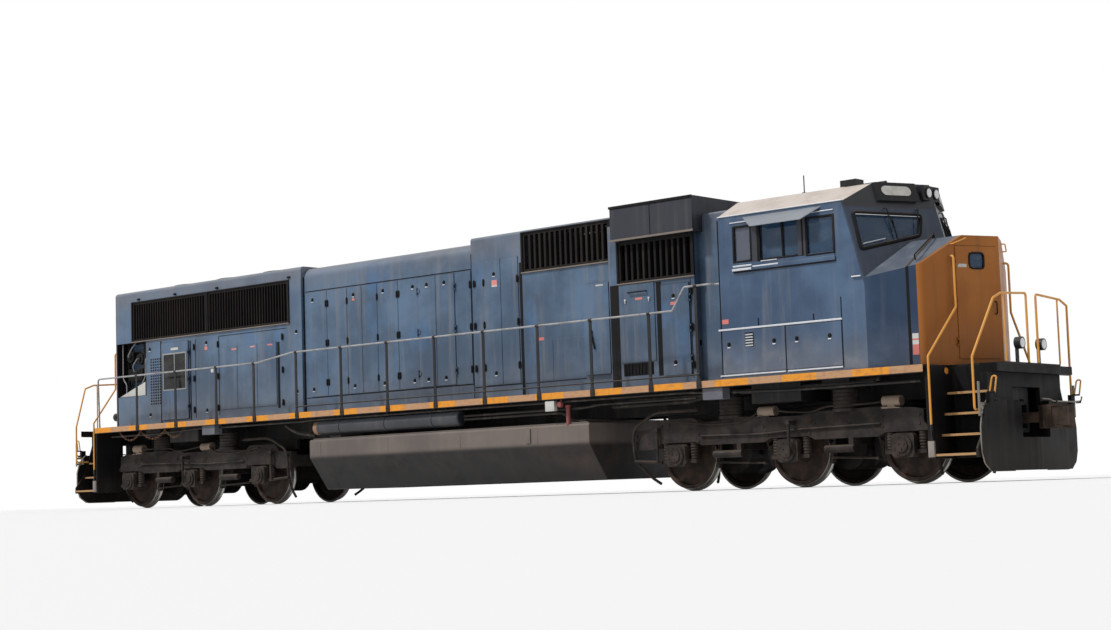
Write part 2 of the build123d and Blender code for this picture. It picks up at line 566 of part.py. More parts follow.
def grille(x0, x1, z0, z1, half, pitch, width, depth, frame=40.0):
    """Upright bars in a frame, set in one side wall."""
    body = block(x0, x1, half - depth, half, z0, z1)
    body -= block(x0 + frame, x1 - frame, half - depth - 1, half + 1, z0 + frame, z1 - frame)
    count = int((x1 - x0 - 2 * frame) / pitch)
    step = (x1 - x0 - 2 * frame) / count
    for index in range(1, count):
        x = x0 + frame + index * step
        body += block(x - width / 2, x + width / 2, half - depth, half, z0 + frame / 2, z1 - frame / 2)
    return body


def side_panels(body, panels, z0, z1, half, proud=PANEL_PROUD):
    """Shut doors and covers that stand proud of both side walls."""
    for left, right in panels:
        panel = block(left + DOOR_GAP, right - DOOR_GAP, half - 5, half + proud, z0, z1)
        body += panel
        body += mirror(panel, about=Plane.XZ)
    return body


# Hinges and leaves, in the hinge's own frame: s runs over the leaf from the hinge line along X,
# d runs outwards along Y from the wall's face
def hinge_levels(z_range):
    z0, z1 = z_range
    return (z0 + HINGE_INSET, (z0 + z1) / 2, z1 - HINGE_INSET)


def leaf(width, z_range, proud=LEAF_PROUD):
    """A door leaf with the barrels and straps of its three hinges."""
    z0, z1 = z_range
    door = block(DOOR_GAP, width - DOOR_GAP, proud - DOOR_THICKNESS, proud, z0 + DOOR_GAP, z1 - DOOR_GAP)
    pin_d = proud + HINGE_STAND_OFF
    for z in hinge_levels(z_range):
        half = HINGE_LENGTH / 2
        door += block(-DOOR_GAP, HINGE_STRAP, proud, proud + HINGE_STRAP_THICKNESS, z - half, z + half)
        door += Pos(0, pin_d, z) * Cylinder(HINGE_BARREL_RADIUS, HINGE_LENGTH)
        door -= Pos(0, pin_d, z) * Cylinder(HINGE_PIN_RADIUS + RUNNING_GAP, HINGE_LENGTH + 2)
    return door


def lugs(z_range, proud=LEAF_PROUD):
    """The fixed halves of a leaf's three hinges: two lugs each, with the pin between them."""
    pin_d = proud + HINGE_STAND_OFF
    pieces = []
    for z in hinge_levels(z_range):
        for end in (-1, 1):
            middle = z + end * (HINGE_LENGTH + HINGE_LUG + 2 * HINGE_PLAY) / 2
            low, high = middle - HINGE_LUG / 2, middle + HINGE_LUG / 2
            lug = block(-HINGE_LUG_REACH, 0, -5, pin_d, low, high)
            pieces.append(lug + Pos(0, pin_d, middle) * Cylinder(HINGE_BARREL_RADIUS, HINGE_LUG))
        pieces.append(Pos(0, pin_d, z) * Cylinder(HINGE_PIN_RADIUS, HINGE_LENGTH + HINGE_LUG))
    return pieces


def on_wall(solid, hinge_x, half, runs, side):
    """From a hinge's own frame to a side wall: runs is +1 for a leaf that runs forwards."""
    turned_over = solid if runs > 0 else mirror(solid, about=Plane.YZ)
    moved = Pos(hinge_x, half, 0) * turned_over
    return moved if side > 0 else mirror(moved, about=Plane.XZ)


def hang(wall, name, left, right, z_range, half, runs):
    """Hang one leaf on each side wall, save the leaves, and return the wall with its lugs."""
    hinge_x = left if runs > 0 else right
    for label, side in (("right", -1), ("left", 1)):
        door_name = name.replace("SIDE", label)
        save(door_name, on_wall(leaf(right - left, z_range), hinge_x, half, runs, side))
        for piece in lugs(z_range):
            wall += on_wall(piece, hinge_x, half, runs, side)
    return wall


# Radiator hood with its grilles, fan holes, equipment recess, room door and shut panels
RADIATOR_GRILLES = ((-9265.0, -6850.0), (-6770.0, -4340.0))
RADIATOR_GRILLE_Z = (3480.0, 4290.0)
ROOM_DOOR_X, ROOM_DOOR_Z = (-8290.0, -7410.0), (1780.0, 3380.0)
ROOM_WINDOW_INSET, ROOM_WINDOW_Z = (40.0, 80.0), (2410.0, 3120.0)
RECESS_X, RECESS_Z, RECESS_DEPTH, RECESS_WALL = (-9820.0, -8830.0), (2330.0, 3460.0), 360.0, 20.0
RADIATOR_PANELS = ((-6400.0, -5875.0), (-5875.0, -5270.0), (-5270.0, -4700.0))
RADIATOR_PANEL_Z = (1910.0, 3140.0)
FAN_X = (-8180.0, -6790.0, -5340.0)
FAN_RADIUS = 600.0
BRAKE_FAN_X = (2200.0, 3240.0)
BRAKE_FAN_RADIUS = 440.0


def radiator_hood():
    body = hood(RADIATOR_X, RADIATOR_HALF, RADIATOR_TOP, 80)
    for x0, x1 in RADIATOR_GRILLES:
        for cut in window_cuts(x0, x1, *RADIATOR_GRILLE_Z, RADIATOR_HALF):
            body -= cut
    for cut in window_cuts(*ROOM_DOOR_X, *ROOM_DOOR_Z, RADIATOR_HALF):
        body -= cut
    for x in FAN_X:
        body -= Pos(x, 0, RADIATOR_TOP - 100) * Cylinder(FAN_RADIUS, 300, align=LOW)
    x0, x1 = RECESS_X
    z0, z1 = RECESS_Z
    for side in (-1, 1):
        back = side * (RADIATOR_HALF - RECESS_DEPTH)
        body += block(x0 - RECESS_WALL, x1 + RECESS_WALL, back, side * (RADIATOR_HALF - 5), z0 - RECESS_WALL,
                      z1 + RECESS_WALL)
        body -= block(x0, x1, back + side * RECESS_WALL, side * (RADIATOR_HALF + 1), z0, z1)
    return side_panels(body, RADIATOR_PANELS, *RADIATOR_PANEL_Z, RADIATOR_HALF)


save("radiator_hood", hang(radiator_hood(), "room_door_SIDE", *ROOM_DOOR_X, ROOM_DOOR_Z, RADIATOR_HALF, -1))
window_x = (ROOM_DOOR_X[0] + ROOM_WINDOW_INSET[0], ROOM_DOOR_X[1] - ROOM_WINDOW_INSET[1])
for label in ("right", "left"):
    door = nodes[f"room_door_{label}"]
    for cut in window_cuts(*window_x, *ROOM_WINDOW_Z, RADIATOR_HALF):
        door -= cut
    middle = sum(window_x) / 2
    side = 1 if label == "left" else -1
    wall_y = side * (RADIATOR_HALF + LEAF_PROUD - DOOR_THICKNESS)
    door += block(middle - 20, middle + 20, wall_y, wall_y + side * DOOR_THICKNESS, ROOM_WINDOW_Z[0] - 5,
                  ROOM_WINDOW_Z[1] + 5)
    pane_y = wall_y + side * DOOR_THICKNESS / 3
    door += block(window_x[0] - 5, window_x[1] + 5, pane_y, pane_y + side * 8, ROOM_WINDOW_Z[0] - 5,
                  ROOM_WINDOW_Z[1] + 5)
    save(f"room_door_{label}", door)

grilles = [item for x0, x1 in RADIATOR_GRILLES
           for item in mirrored(grille(x0, x1, *RADIATOR_GRILLE_Z, RADIATOR_HALF, 80, 18, 60))]

# What shows through the grilles: two sloping radiator banks, the brake grids and the filter box
CORE_THICKNESS = 180.0
CORE_LOW, CORE_HIGH = (880.0, RECESS_Z[1] + RECESS_WALL + SEAT_GAP), (260.0, 4200.0)
cores = []
for side in (-1, 1):
    (low_y, low_z), (high_y, high_z) = CORE_LOW, CORE_HIGH
    bank = [(side * low_y, low_z), (side * high_y, high_z), (side * (high_y - CORE_THICKNESS), high_z),
            (side * (low_y - CORE_THICKNESS), low_z)]
    cores.append(along_x(bank, RADIATOR_GRILLES[0][0], RADIATOR_GRILLES[1][1]))


# Roof fans: a flanged ring with a guard, a spider that carries the shaft, and the rotor on it
RING_WALL, RING_RISE, RING_FLANGE, FLANGE_THICKNESS = 25.0, 70.0, 40.0, 12.0
SPIDER_Z, SPIDER_BOSS, SPIDER_HALF = (15.0, 45.0), 120.0, 30.0
SHAFT_RADIUS, SHAFT_LENGTH = 30.0, 95.0
GUARD_BAR, GUARD_RINGS = 8.0, 3
FAN_HUB_RADIUS, FAN_HUB_LENGTH, FAN_BLADES = 150.0, 70.0, 8
BLADE_TIP_GAP, BLADE_CHORD, BLADE_ROOT_ANGLE, BLADE_TIP_ANGLE = 15.0, 130.0, 40.0, 22.0


def fan_ring(x, top, hole_radius):
    radius = hole_radius - 1
    inner = radius - RING_WALL
    ring = turned_profile([(inner, -HOOD_WALL), (radius, -HOOD_WALL), (radius, 0), (radius + RING_FLANGE, 0),
                           (radius + RING_FLANGE, FLANGE_THICKNESS), (radius, FLANGE_THICKNESS), (radius,
                                                                                                  RING_RISE),
                           (inner, RING_RISE)])
    low, high = SPIDER_Z
    for y_half, x_half in ((SPIDER_HALF, inner + 5), (inner + 5, SPIDER_HALF)):
        ring += block(-x_half, x_half, -y_half, y_half, low, high)
    ring += Pos(0, 0, -20) * Cylinder(SPIDER_BOSS, high + 20, align=LOW)
    ring += Pos(0, 0, -20 - SHAFT_LENGTH) * Cylinder(SHAFT_RADIUS, SHAFT_LENGTH, align=LOW)
    for index in range(GUARD_RINGS):
        middle = inner * (index + 1) / (GUARD_RINGS + 1)
        ring += turned_profile([(middle, RING_RISE - GUARD_BAR), (middle + GUARD_BAR, RING_RISE - GUARD_BAR),
                                (middle + GUARD_BAR, RING_RISE), (middle, RING_RISE)])
    for index in range(4):
        bar = block(-inner - 5, inner + 5, -GUARD_BAR / 2, GUARD_BAR / 2, RING_RISE - GUARD_BAR, RING_RISE)
        ring += Rot(0, 0, index * 45 + 22.5) * bar
    ring += Pos(0, 0, high) * Cylinder(GUARD_BAR * 2, RING_RISE - high, align=LOW)
    return Pos(x, 0, top) * ring


def fan_rotor(x, top, hole_radius):
    hub_top = -20 - RUNNING_GAP
    hub = Pos(0, 0, hub_top - FAN_HUB_LENGTH) * Cylinder(FAN_HUB_RADIUS, FAN_HUB_LENGTH, align=LOW)
    tip = hole_radius - 1 - RING_WALL - BLADE_TIP_GAP
    rotor = hub
    for index in range(FAN_BLADES):
        sections = []
        for radius, angle in ((FAN_HUB_RADIUS - 30, BLADE_ROOT_ANGLE), (tip, BLADE_TIP_ANGLE)):
            plane = Plane(origin=(radius, 0, hub_top - FAN_HUB_LENGTH / 2), x_dir=(0, 1, 0), z_dir=(1, 0, 0))
            sections.append(plane * Rot(0, 0, angle) * Rectangle(BLADE_CHORD * 0.8, 8))
        rotor += Rot(0, 0, index * 360 / FAN_BLADES) * loft(sections)
    rotor -= Pos(0, 0, hub_top - 2 * FAN_HUB_LENGTH) * Cylinder(SHAFT_RADIUS + RUNNING_GAP,
                                                                3 * FAN_HUB_LENGTH, align=LOW)
    return Pos(x, 0, top) * rotor


save("fan_rings", [fan_ring(x, RADIATOR_TOP, FAN_RADIUS) for x in FAN_X],
     [fan_ring(x, BRAKE_TOP, BRAKE_FAN_RADIUS) for x in BRAKE_FAN_X])
for number, x in enumerate(FAN_X, start=1):
    save(f"radiator_fan_{number}", fan_rotor(x, RADIATOR_TOP, FAN_RADIUS))
for number, x in enumerate(BRAKE_FAN_X, start=1):
    save(f"brake_fan_{number}", fan_rotor(x, BRAKE_TOP, BRAKE_FAN_RADIUS))

# Engine hood with its row of tall doors, of which two open on each side, and the engine inside
ENGINE_DOOR_Z = (2010.0, 4010.0)
# left edge, right edge, and which way an opening leaf runs from its hinge (0 for a door left shut)
ENGINE_DOORS = (
    (-3780.0, -3290.0, 0), (-3290.0, -2730.0, 0), (-2730.0, -2330.0, 0), (-2330.0, -1910.0, 0),
    (-1910.0, -1360.0, 0), (-1360.0, -840.0, 0), (-840.0, -380.0, 1), (-380.0, 90.0, -1), (90.0, 490.0, 0),
)
ENGINE_BLOCK_X, ENGINE_BLOCK_HALF, ENGINE_BLOCK_TOP = (-3700.0, 300.0), 600.0, 3900.0
engine_hood = hood(ENGINE_X, ENGINE_HALF, ENGINE_TOP, 210)
opening_doors = [row for row in ENGINE_DOORS if row[2]]
for cut in window_cuts(opening_doors[0][0], opening_doors[-1][1], *ENGINE_DOOR_Z, ENGINE_HALF):
    engine_hood -= cut
engine_hood = side_panels(engine_hood, [row[:2] for row in ENGINE_DOORS if not row[2]], *ENGINE_DOOR_Z,
                          ENGINE_HALF)
for number, (left, right, runs) in enumerate(opening_doors, start=1):
    engine_hood = hang(engine_hood, f"engine_door_SIDE_{number}", left, right, ENGINE_DOOR_Z, ENGINE_HALF,
                       runs)
save("engine_hood", engine_hood)
save("engine", block(*ENGINE_BLOCK_X, -ENGINE_BLOCK_HALF, ENGINE_BLOCK_HALF, DECK_TOP, ENGINE_BLOCK_TOP))

# Silencer section with its outlet, and the brake section with louvres and a cabinet
SILENCER_PANELS, SILENCER_PANEL_Z = ((800.0, 1206.0), (1206.0, 1620.0)), (1950.0, 4150.0)
OUTLET_X, OUTLET_HALF, OUTLET_RISE = (900.0, 1400.0), 180.0, 90.0
silencer_hood = side_panels(hood(SILENCER_X, ENGINE_HALF, BRAKE_TOP, 60), SILENCER_PANELS,
                            *SILENCER_PANEL_Z, ENGINE_HALF)
silencer_hood += block(*OUTLET_X, -OUTLET_HALF, OUTLET_HALF, BRAKE_TOP - 20, BRAKE_TOP + OUTLET_RISE)
silencer_hood -= block(OUTLET_X[0] + 30, OUTLET_X[1] - 30, 30 - OUTLET_HALF, OUTLET_HALF - 30,
                       BRAKE_TOP - 100,
                       BRAKE_TOP + 2 * OUTLET_RISE)
save("silencer_hood", silencer_hood)

BRAKE_GRILLE_X, BRAKE_GRILLE_Z = (1740.0, 3690.0), (3855.0, 4530.0)
BRAKE_CABINET, BRAKE_CABINET_Z, CABINET_PROUD = (3114.0, 3676.0), (1980.0, 3500.0), 60.0
GRID_HALF, GRID_TOP = 780.0, 4380.0
brake_hood = hood(BRAKE_X, ENGINE_HALF, BRAKE_TOP, 40)
for cut in window_cuts(*BRAKE_GRILLE_X, *BRAKE_GRILLE_Z, ENGINE_HALF):
    brake_hood -= cut
for x in BRAKE_FAN_X:
    brake_hood -= Pos(x, 0, BRAKE_TOP - 100) * Cylinder(BRAKE_FAN_RADIUS, 300, align=LOW)
save("brake_hood", side_panels(brake_hood, (BRAKE_CABINET,), *BRAKE_CABINET_Z, ENGINE_HALF, CABINET_PROUD))
grilles += mirrored(grille(*BRAKE_GRILLE_X, *BRAKE_GRILLE_Z, ENGINE_HALF, 115, 45, 60))
cores.append(block(BRAKE_GRILLE_X[0] + 20, BRAKE_GRILLE_X[1] - 20, -GRID_HALF, GRID_HALF, DECK_TOP,
                   GRID_TOP))

# Cooling section with its deep grille, cabinet door and the tall box over it, and the link section
COOLING_GRILLE_X, COOLING_GRILLE_Z = (3960.0, 5480.0), (3430.0, 4100.0)
CABINET_DOOR_X, CABINET_DOOR_Z = (4830.0, 5400.0), (1850.0, 3330.0)
COOLING_PANEL, COOLING_PANEL_Z = (3950.0, 4690.0), (2120.0, 3400.0)
FILTER_HALF, FILTER_TOP = 800.0, 4200.0
BOX_X, BOX_TOP_HALF, BOX_Z = (3900.0, 5590.0), 1170.0, (4130.0, 4700.0)
BOX_SHOULDER = 60.0
cooling_hood = hood(COOLING_X, COOLING_HALF, COOLING_TOP, 10)
for cut in window_cuts(*COOLING_GRILLE_X, *COOLING_GRILLE_Z, COOLING_HALF):
    cooling_hood -= cut
for cut in window_cuts(*CABINET_DOOR_X, *CABINET_DOOR_Z, COOLING_HALF):
    cooling_hood -= cut
cooling_hood = side_panels(cooling_hood, (COOLING_PANEL,), *COOLING_PANEL_Z, COOLING_HALF)
cooling_hood = hang(cooling_hood, "cabinet_door_SIDE", *CABINET_DOOR_X, CABINET_DOOR_Z, COOLING_HALF, -1)
save("cooling_hood", cooling_hood)
grilles += mirrored(grille(*COOLING_GRILLE_X, *COOLING_GRILLE_Z, COOLING_HALF, 115, 40, 60))
cores.append(block(COOLING_GRILLE_X[0] - 80, COOLING_GRILLE_X[1] - 80, -FILTER_HALF, FILTER_HALF, DECK_TOP,
                   FILTER_TOP))
save("side_grilles", grilles)
save("cooler_cores", cores)
cooling_box = block(*BOX_X, -BOX_TOP_HALF, BOX_TOP_HALF, *BOX_Z)
cooling_box = fillet(cooling_box.edges().filter_by(Axis.X).group_by(Axis.Z)[-1], BOX_SHOULDER)
cooling_box -= block(BOX_X[0] - 1, COOLING_X[1], -COOLING_HALF, COOLING_HALF, DECK_TOP, COOLING_TOP)
cooling_box -= block(COOLING_X[1], BOX_X[1] + 1, -LINK_HALF, LINK_HALF, DECK_TOP, LINK_TOP)
save("cooling_box", cooling_box)
save("link_hood", hood(LINK_X, LINK_HALF, LINK_TOP, 40))


# Cab: a folded shell whose front leans back and is a shallow vee in plan
def cab_solid(inset):
    half, eave, roof = CAB_HALF - inset, CAB_EAVE - inset, CAB_ROOF - inset
    roof_half = CAB_ROOF_HALF - inset / 2
    base = DECK_TOP if inset == 0 else CAB_FLOOR
    outline = [(half, base), (half, eave), (roof_half, roof), (-roof_half, roof), (-half, eave),
               (-half, base)]
    body = along_x(outline, CAB_REAR + inset, CAB_FOOT_X + 900)
    lean = (CAB_FOOT_X - CAB_BROW_X) / (CAB_EAVE - CAB_BELT_Z)
    for side in (-1, 1):
        body -= vee_cutter(CAB_FOOT_X - inset * 1.1, CAB_BELT_Z, lean, side)
    return body


def vee_cutter(foot_x, foot_z, lean, side):
    """All the space ahead of one half of the leaning front, and of the upright front below it."""
    far, wide = END_FACE_X + 1200, CAB_HALF + 1000
    top_z = CAB_ROOF + 300
    reach = VEE_SLOPE * CAB_HALF
    low = [(foot_x, side * CAB_HALF), (foot_x + reach, 0), (far, 0), (far, side * wide),
           (foot_x - VEE_SLOPE * (wide - CAB_HALF), side * wide)]
    below = along_z(low, DECK_TOP - 700, foot_z)
    shift = lean * (top_z - foot_z)
    face_low = make_face(Polyline(*[(x, y, foot_z) for x, y in low], close=True))
    high = [(x - shift, y) if x < far else (x, y) for x, y in low]
    face_high = make_face(Polyline(*[(x, y, top_z) for x, y in high], close=True))
    return below + loft([face_low, face_high])


# left edge, right edge, bottom and top of each side window
SIDE_WINDOWS = ((6630.0, 6930.0, 3490.0, 4010.0), (7100.0, 7880.0, 3480.0, 4050.0),
                (7970.0, 8420.0, 3460.0, 3995.0))
LEDGE_X, LEDGE_Z, LEDGE_PROUD = (6620.0, 8430.0), (3330.0, 3470.0), 10.0
CAB_DOOR_Y, CAB_DOOR_Z = (950.0, 1420.0), (1980.0, 3850.0)
CAB_LEAF_PROUD = 15.0
NOSE_PASSAGE_Y, NOSE_PASSAGE_TOP = (-650.0, -150.0), 2950.0
# y and z of a windscreen's corners, from its upper outer one
SCREEN_OUTLINE = ((-1390.0, 4020.0), (-290.0, 4005.0), (-400.0, 3690.0), (-1420.0, 3452.0))
GLASS_INSET, GLASS_THICKNESS = 20.0, 12.0
SCREEN_REACH = (CAB_BROW_X - 300.0, CAB_FOOT_X + 700.0)


def on_rear_wall(solid):
    """From the hinge's own frame to the cab's rear wall: the leaf runs inwards from its hinge."""
    return Pos(CAB_REAR, CAB_DOOR_Y[1], 0) * Rot(0, 0, 90) * mirror(solid, about=Plane.YZ)


cab = cab_solid(0) - cab_solid(CAB_WALL)
for x0, x1, z0, z1 in SIDE_WINDOWS:
    for cut in window_cuts(x0, x1, z0, z1, CAB_HALF):
        cab -= cut
for side in (1, -1):
    cab -= along_x([(side * y, z) for y, z in SCREEN_OUTLINE], *SCREEN_REACH)
    cab += block(*LEDGE_X, side * (CAB_HALF - 5), side * (CAB_HALF + LEDGE_PROUD), *LEDGE_Z)
cab -= block(CAB_REAR - 100, CAB_REAR + 2 * CAB_WALL, *CAB_DOOR_Y, *CAB_DOOR_Z)
cab -= block(CAB_FOOT_X - 200, CAB_FOOT_X + VEE_SLOPE * CAB_HALF + 100, *NOSE_PASSAGE_Y, CAB_FLOOR,
             NOSE_PASSAGE_TOP)
for piece in lugs(CAB_DOOR_Z, CAB_LEAF_PROUD):
    cab += on_rear_wall(piece)
save("cab_shell", cab)
save("cab_door", on_rear_wall(leaf(CAB_DOOR_Y[1] - CAB_DOOR_Y[0], CAB_DOOR_Z, CAB_LEAF_PROUD)))

glass_skin = cab_solid(GLASS_INSET) - cab_solid(GLASS_INSET + GLASS_THICKNESS)
panes = []
for side in (1, -1):
    panes.append(glass_skin & along_x([(side * y, z) for y, z in SCREEN_OUTLINE], *SCREEN_REACH))
for x0, x1, z0, z1 in SIDE_WINDOWS:
    panes += mirrored(block(x0, x1, CAB_HALF - GLASS_INSET - GLASS_THICKNESS, CAB_HALF - GLASS_INSET, z0,
                            z1))
save("cab_glass", panes)


# Nose: a shell that narrows to the front, with a ridge down the middle and a chamfered top
def nose_solid(inset):
    rear = CAB_BROW_X
    corner_x, corner_y = NOSE_CORNER_X - inset * 0.6, NOSE_CORNER_Y - inset
    side_y = CAB_HALF - inset
    plan = [(rear, side_y), (CAB_FOOT_X, side_y), (corner_x, corner_y), (NOSE_RIDGE_X - inset * 1.1, 0),
            (corner_x, -corner_y), (CAB_FOOT_X, -side_y), (rear, -side_y)]
    body = along_z(plan, DECK_TOP - (10 if inset else 0), NOSE_TOP - inset)
    corners = body.edges().filter_by(Axis.Z).filter_by(lambda edge: abs(edge.center().X - corner_x) < 1)
    body = fillet(corners, NOSE_CORNER_RADIUS - inset)
    drop = inset * 1.17
    slope = (NOSE_TOP - NOSE_BREAK_Z) / (NOSE_BREAK_Y - NOSE_TOP_HALF)
    low_y, high_y = CAB_HALF + 500, NOSE_TOP_HALF - 100
    for side in (-1, 1):
        cut = [(side * low_y, NOSE_BREAK_Z - drop - slope * (low_y - NOSE_BREAK_Y)),
               (side * high_y, NOSE_TOP - drop + slope * 100), (side * low_y, NOSE_TOP + 600)]
        body -= along_x(cut, rear - 10, NOSE_RIDGE_X + 10)
    return body


FACET_ANGLE = degrees(atan2(-NOSE_CORNER_Y, NOSE_CORNER_X - NOSE_RIDGE_X))


def on_facet(solid):
    """To the right-hand front facet: s runs outwards from the ridge, d out of the face."""
    return Pos(NOSE_RIDGE_X, 0, 0) * Rot(0, 0, FACET_ANGLE) * solid


def facet_point(s, d, z):
    angle = radians(FACET_ANGLE)
    return (NOSE_RIDGE_X + s * cos(angle) - d * sin(angle), s * sin(angle) + d * cos(angle), z)


NOSE_DOOR_S, NOSE_DOOR_Z = (60.0, 800.0), (1780.0, 3440.0)
NOSE_WINDOW_S, NOSE_WINDOW_Z = (290.0, 550.0), (3105.0, 3335.0)
NOSE_LEAF_PROUD = 8.0
nose = nose_solid(0) - nose_solid(CAB_WALL) - cab_solid(0)
nose -= on_facet(block(*NOSE_DOOR_S, -150, 60, *NOSE_DOOR_Z))
nose_hinge = Pos(NOSE_DOOR_S[1], 0, 0)
for piece in lugs(NOSE_DOOR_Z, NOSE_LEAF_PROUD):
    nose += on_facet(nose_hinge * mirror(piece, about=Plane.YZ))
save("nose_shell", nose)
nose_door = nose_hinge * mirror(leaf(NOSE_DOOR_S[1] - NOSE_DOOR_S[0], NOSE_DOOR_Z, NOSE_LEAF_PROUD),
                                about=Plane.YZ)
nose_door -= block(*NOSE_WINDOW_S, -100, 60, *NOSE_WINDOW_Z)
save("nose_door", on_facet(nose_door))
save("nose_door_glass", on_facet(block(*NOSE_WINDOW_S, -GLASS_THICKNESS, 0, *NOSE_WINDOW_Z)))

# Cab inside: consoles, seat bases and cushions
CONSOLE_X, CONSOLE_TOP, CONSOLE_INNER = (8120.0, 8600.0), 2860.0, 250.0
CONSOLE_OUTER = CAB_HALF - CAB_WALL - 20.0
SEAT_X, SEAT_SIDE_Y = 7500.0, 1000.0
SEAT_Z, SEAT_PLATE, CUSHION, SEAT_BACK_TOP = 2380.0, 20.0, 100.0, 3060.0
SEAT_HALF, PEDESTAL_HALF = 240.0, 60.0
fittings = [block(*CONSOLE_X, side * CONSOLE_INNER, side * CONSOLE_OUTER, CAB_FLOOR,
                  CONSOLE_TOP) for side in (-1, 1)]
cushions = []
for side in (-1, 1):
    y = side * SEAT_SIDE_Y
    base = block(SEAT_X - PEDESTAL_HALF, SEAT_X + PEDESTAL_HALF, y - PEDESTAL_HALF, y + PEDESTAL_HALF,
                 CAB_FLOOR, SEAT_Z)
    base += block(SEAT_X - SEAT_HALF + 10, SEAT_X + SEAT_HALF - 10, y - SEAT_HALF + 20, y + SEAT_HALF - 20,
                  SEAT_Z,
                  SEAT_Z + SEAT_PLATE)
    fittings.append(base)
    bottom = SEAT_Z + SEAT_PLATE + SEAT_GAP
    seat = block(SEAT_X - SEAT_HALF, SEAT_X + SEAT_HALF, y - SEAT_HALF, y + SEAT_HALF, bottom,
                 bottom + CUSHION)
    seat += block(SEAT_X - SEAT_HALF, SEAT_X - SEAT_HALF + CUSHION, y - SEAT_HALF, y + SEAT_HALF,
                  bottom + CUSHION / 2,
                  SEAT_BACK_TOP)
    cushions.append(seat)
save("cab_fittings", fittings)
save("seat_cushions", cushions)

# Sunshades: a tapered plate that slopes out and down over the side windows
SHADE_X_INNER, SHADE_X_OUTER = (6800.0, 8230.0), (7080.0, 8000.0)
SHADE_REACH, SHADE_Z, SHADE_THICKNESS = 220.0, (4150.0, 3970.0), 12.0
shade_y = CAB_HALF + SHADE_REACH
shade = along_x([(CAB_HALF, SHADE_Z[0]), (CAB_HALF, SHADE_Z[0] + SHADE_THICKNESS),
                 (shade_y, SHADE_Z[1] + SHADE_THICKNESS),
                 (shade_y, SHADE_Z[1])], *SHADE_X_INNER)
shade &= along_z([(SHADE_X_INNER[0], CAB_HALF), (SHADE_X_INNER[1], CAB_HALF), (SHADE_X_OUTER[1], shade_y),
                  (SHADE_X_OUTER[0], shade_y)], DECK_TOP, CAB_ROOF)
save("sunshades", mirrored(shade))

# Number boards and headlamp on the brow, lamps at the rear, and ditch lamps on the decks
BOARD_Y, BOARD_Z, BOARD_DEPTH = (300.0, 940.0), (4215.0, 4500.0), 60.0
HEADLAMP_Z, HEADLAMP_Y, HEADLAMP_RADIUS, HEADLAMP_X = 4360.0, 110.0, 85.0, 9270.0
REAR_LAMP_Z, REAR_LAMP_DEPTH = 4250.0, 90.0
DITCH_X, DITCH_Y, DITCH_Z, DITCH_RADIUS = (10685.0, 10785.0), 330.0, 1975.0, 88.0


def front_slab(y0, y1, z0, z1, depth):
    """A slab that stands proud of the leaning front."""
    return block(*SCREEN_REACH, y0, y1, z0, z1) & (cab_solid(-depth) - cab_solid(0))


def ditch_lamp():
    lamp = rod((DITCH_X[0], DITCH_Y, DITCH_Z), (DITCH_X[1], DITCH_Y, DITCH_Z), DITCH_RADIUS)
    stem_x = DITCH_X[0] - 5
    return lamp + block(stem_x, stem_x + 20, DITCH_Y - 40, DITCH_Y + 40, DECK_TOP, DITCH_Z)


number_boards = [front_slab(side * BOARD_Y[0], side * BOARD_Y[1], *BOARD_Z, BOARD_DEPTH) for side in (-1, 1)]
lamp_box = block(CAB_FOOT_X, HEADLAMP_X - 20, -HEADLAMP_Y - 105, HEADLAMP_Y + 105, HEADLAMP_Z - 110,
                 HEADLAMP_Z + 110)
hood_end = RADIATOR_X[0]
rear_box = block(hood_end - REAR_LAMP_DEPTH, hood_end, -HEADLAMP_Y - 105, HEADLAMP_Y + 105,
                 REAR_LAMP_Z - 110,
                 REAR_LAMP_Z + 110)
for y in (-HEADLAMP_Y, HEADLAMP_Y):
    lamp_box += rod((HEADLAMP_X - 40, y, HEADLAMP_Z), (HEADLAMP_X, y, HEADLAMP_Z), HEADLAMP_RADIUS)
    rear_box += rod((hood_end - REAR_LAMP_DEPTH - 20, y, REAR_LAMP_Z), (hood_end, y, REAR_LAMP_Z),
                    HEADLAMP_RADIUS)
lamp_box -= cab_solid(0)
ditch_lamps = mirrored(ditch_lamp())
save("lamps", number_boards, lamp_box, rear_box, ditch_lamps, [turned(lamp) for lamp in ditch_lamps])

# Roof gear: horns on a bracket, two aerials, a box and a grab rail
HORN_X, HORN_RISE, HORN_RADIUS = 8250.0, 110.0, 45.0
# x and y of each aerial
AERIALS = ((7360.0, -600.0), (7660.0, 600.0))
AERIAL_BASE, AERIAL_HEIGHT, AERIAL_RADIUS = 40.0, 330.0, 9.0
ROOF_BOX_X, ROOF_BOX_Y, ROOF_BOX_HEIGHT = (8180.0, 8460.0), (-860.0, -640.0), 110.0
horn_z = CAB_ROOF + HORN_RISE
horn = block(HORN_X - 100, HORN_X + 100, -120, 120, CAB_ROOF, CAB_ROOF + 60)
horn += block(HORN_X - 50, HORN_X + 50, -100, 100, CAB_ROOF + 50, horn_z)
for y, rear, front in ((-60, -250, 250), (60, -200, 170)):
    bell = rod((HORN_X + front - 130, y, horn_z), (HORN_X + front, y, horn_z), HORN_RADIUS)
    horn += rod((HORN_X + rear, y, horn_z), (HORN_X + front, y, horn_z), HORN_RADIUS / 2) + bell
aerials = [Pos(x, y, CAB_ROOF) * (Cylinder(AERIAL_BASE, 60, align=LOW) + Cylinder(AERIAL_RADIUS,
                                                                                  AERIAL_HEIGHT, align=LOW))
           for x, y in AERIALS]
roof_box = block(*ROOF_BOX_X, *ROOF_BOX_Y, CAB_ROOF, CAB_ROOF + ROOF_BOX_HEIGHT)
save("roof_gear", horn, aerials, roof_box)

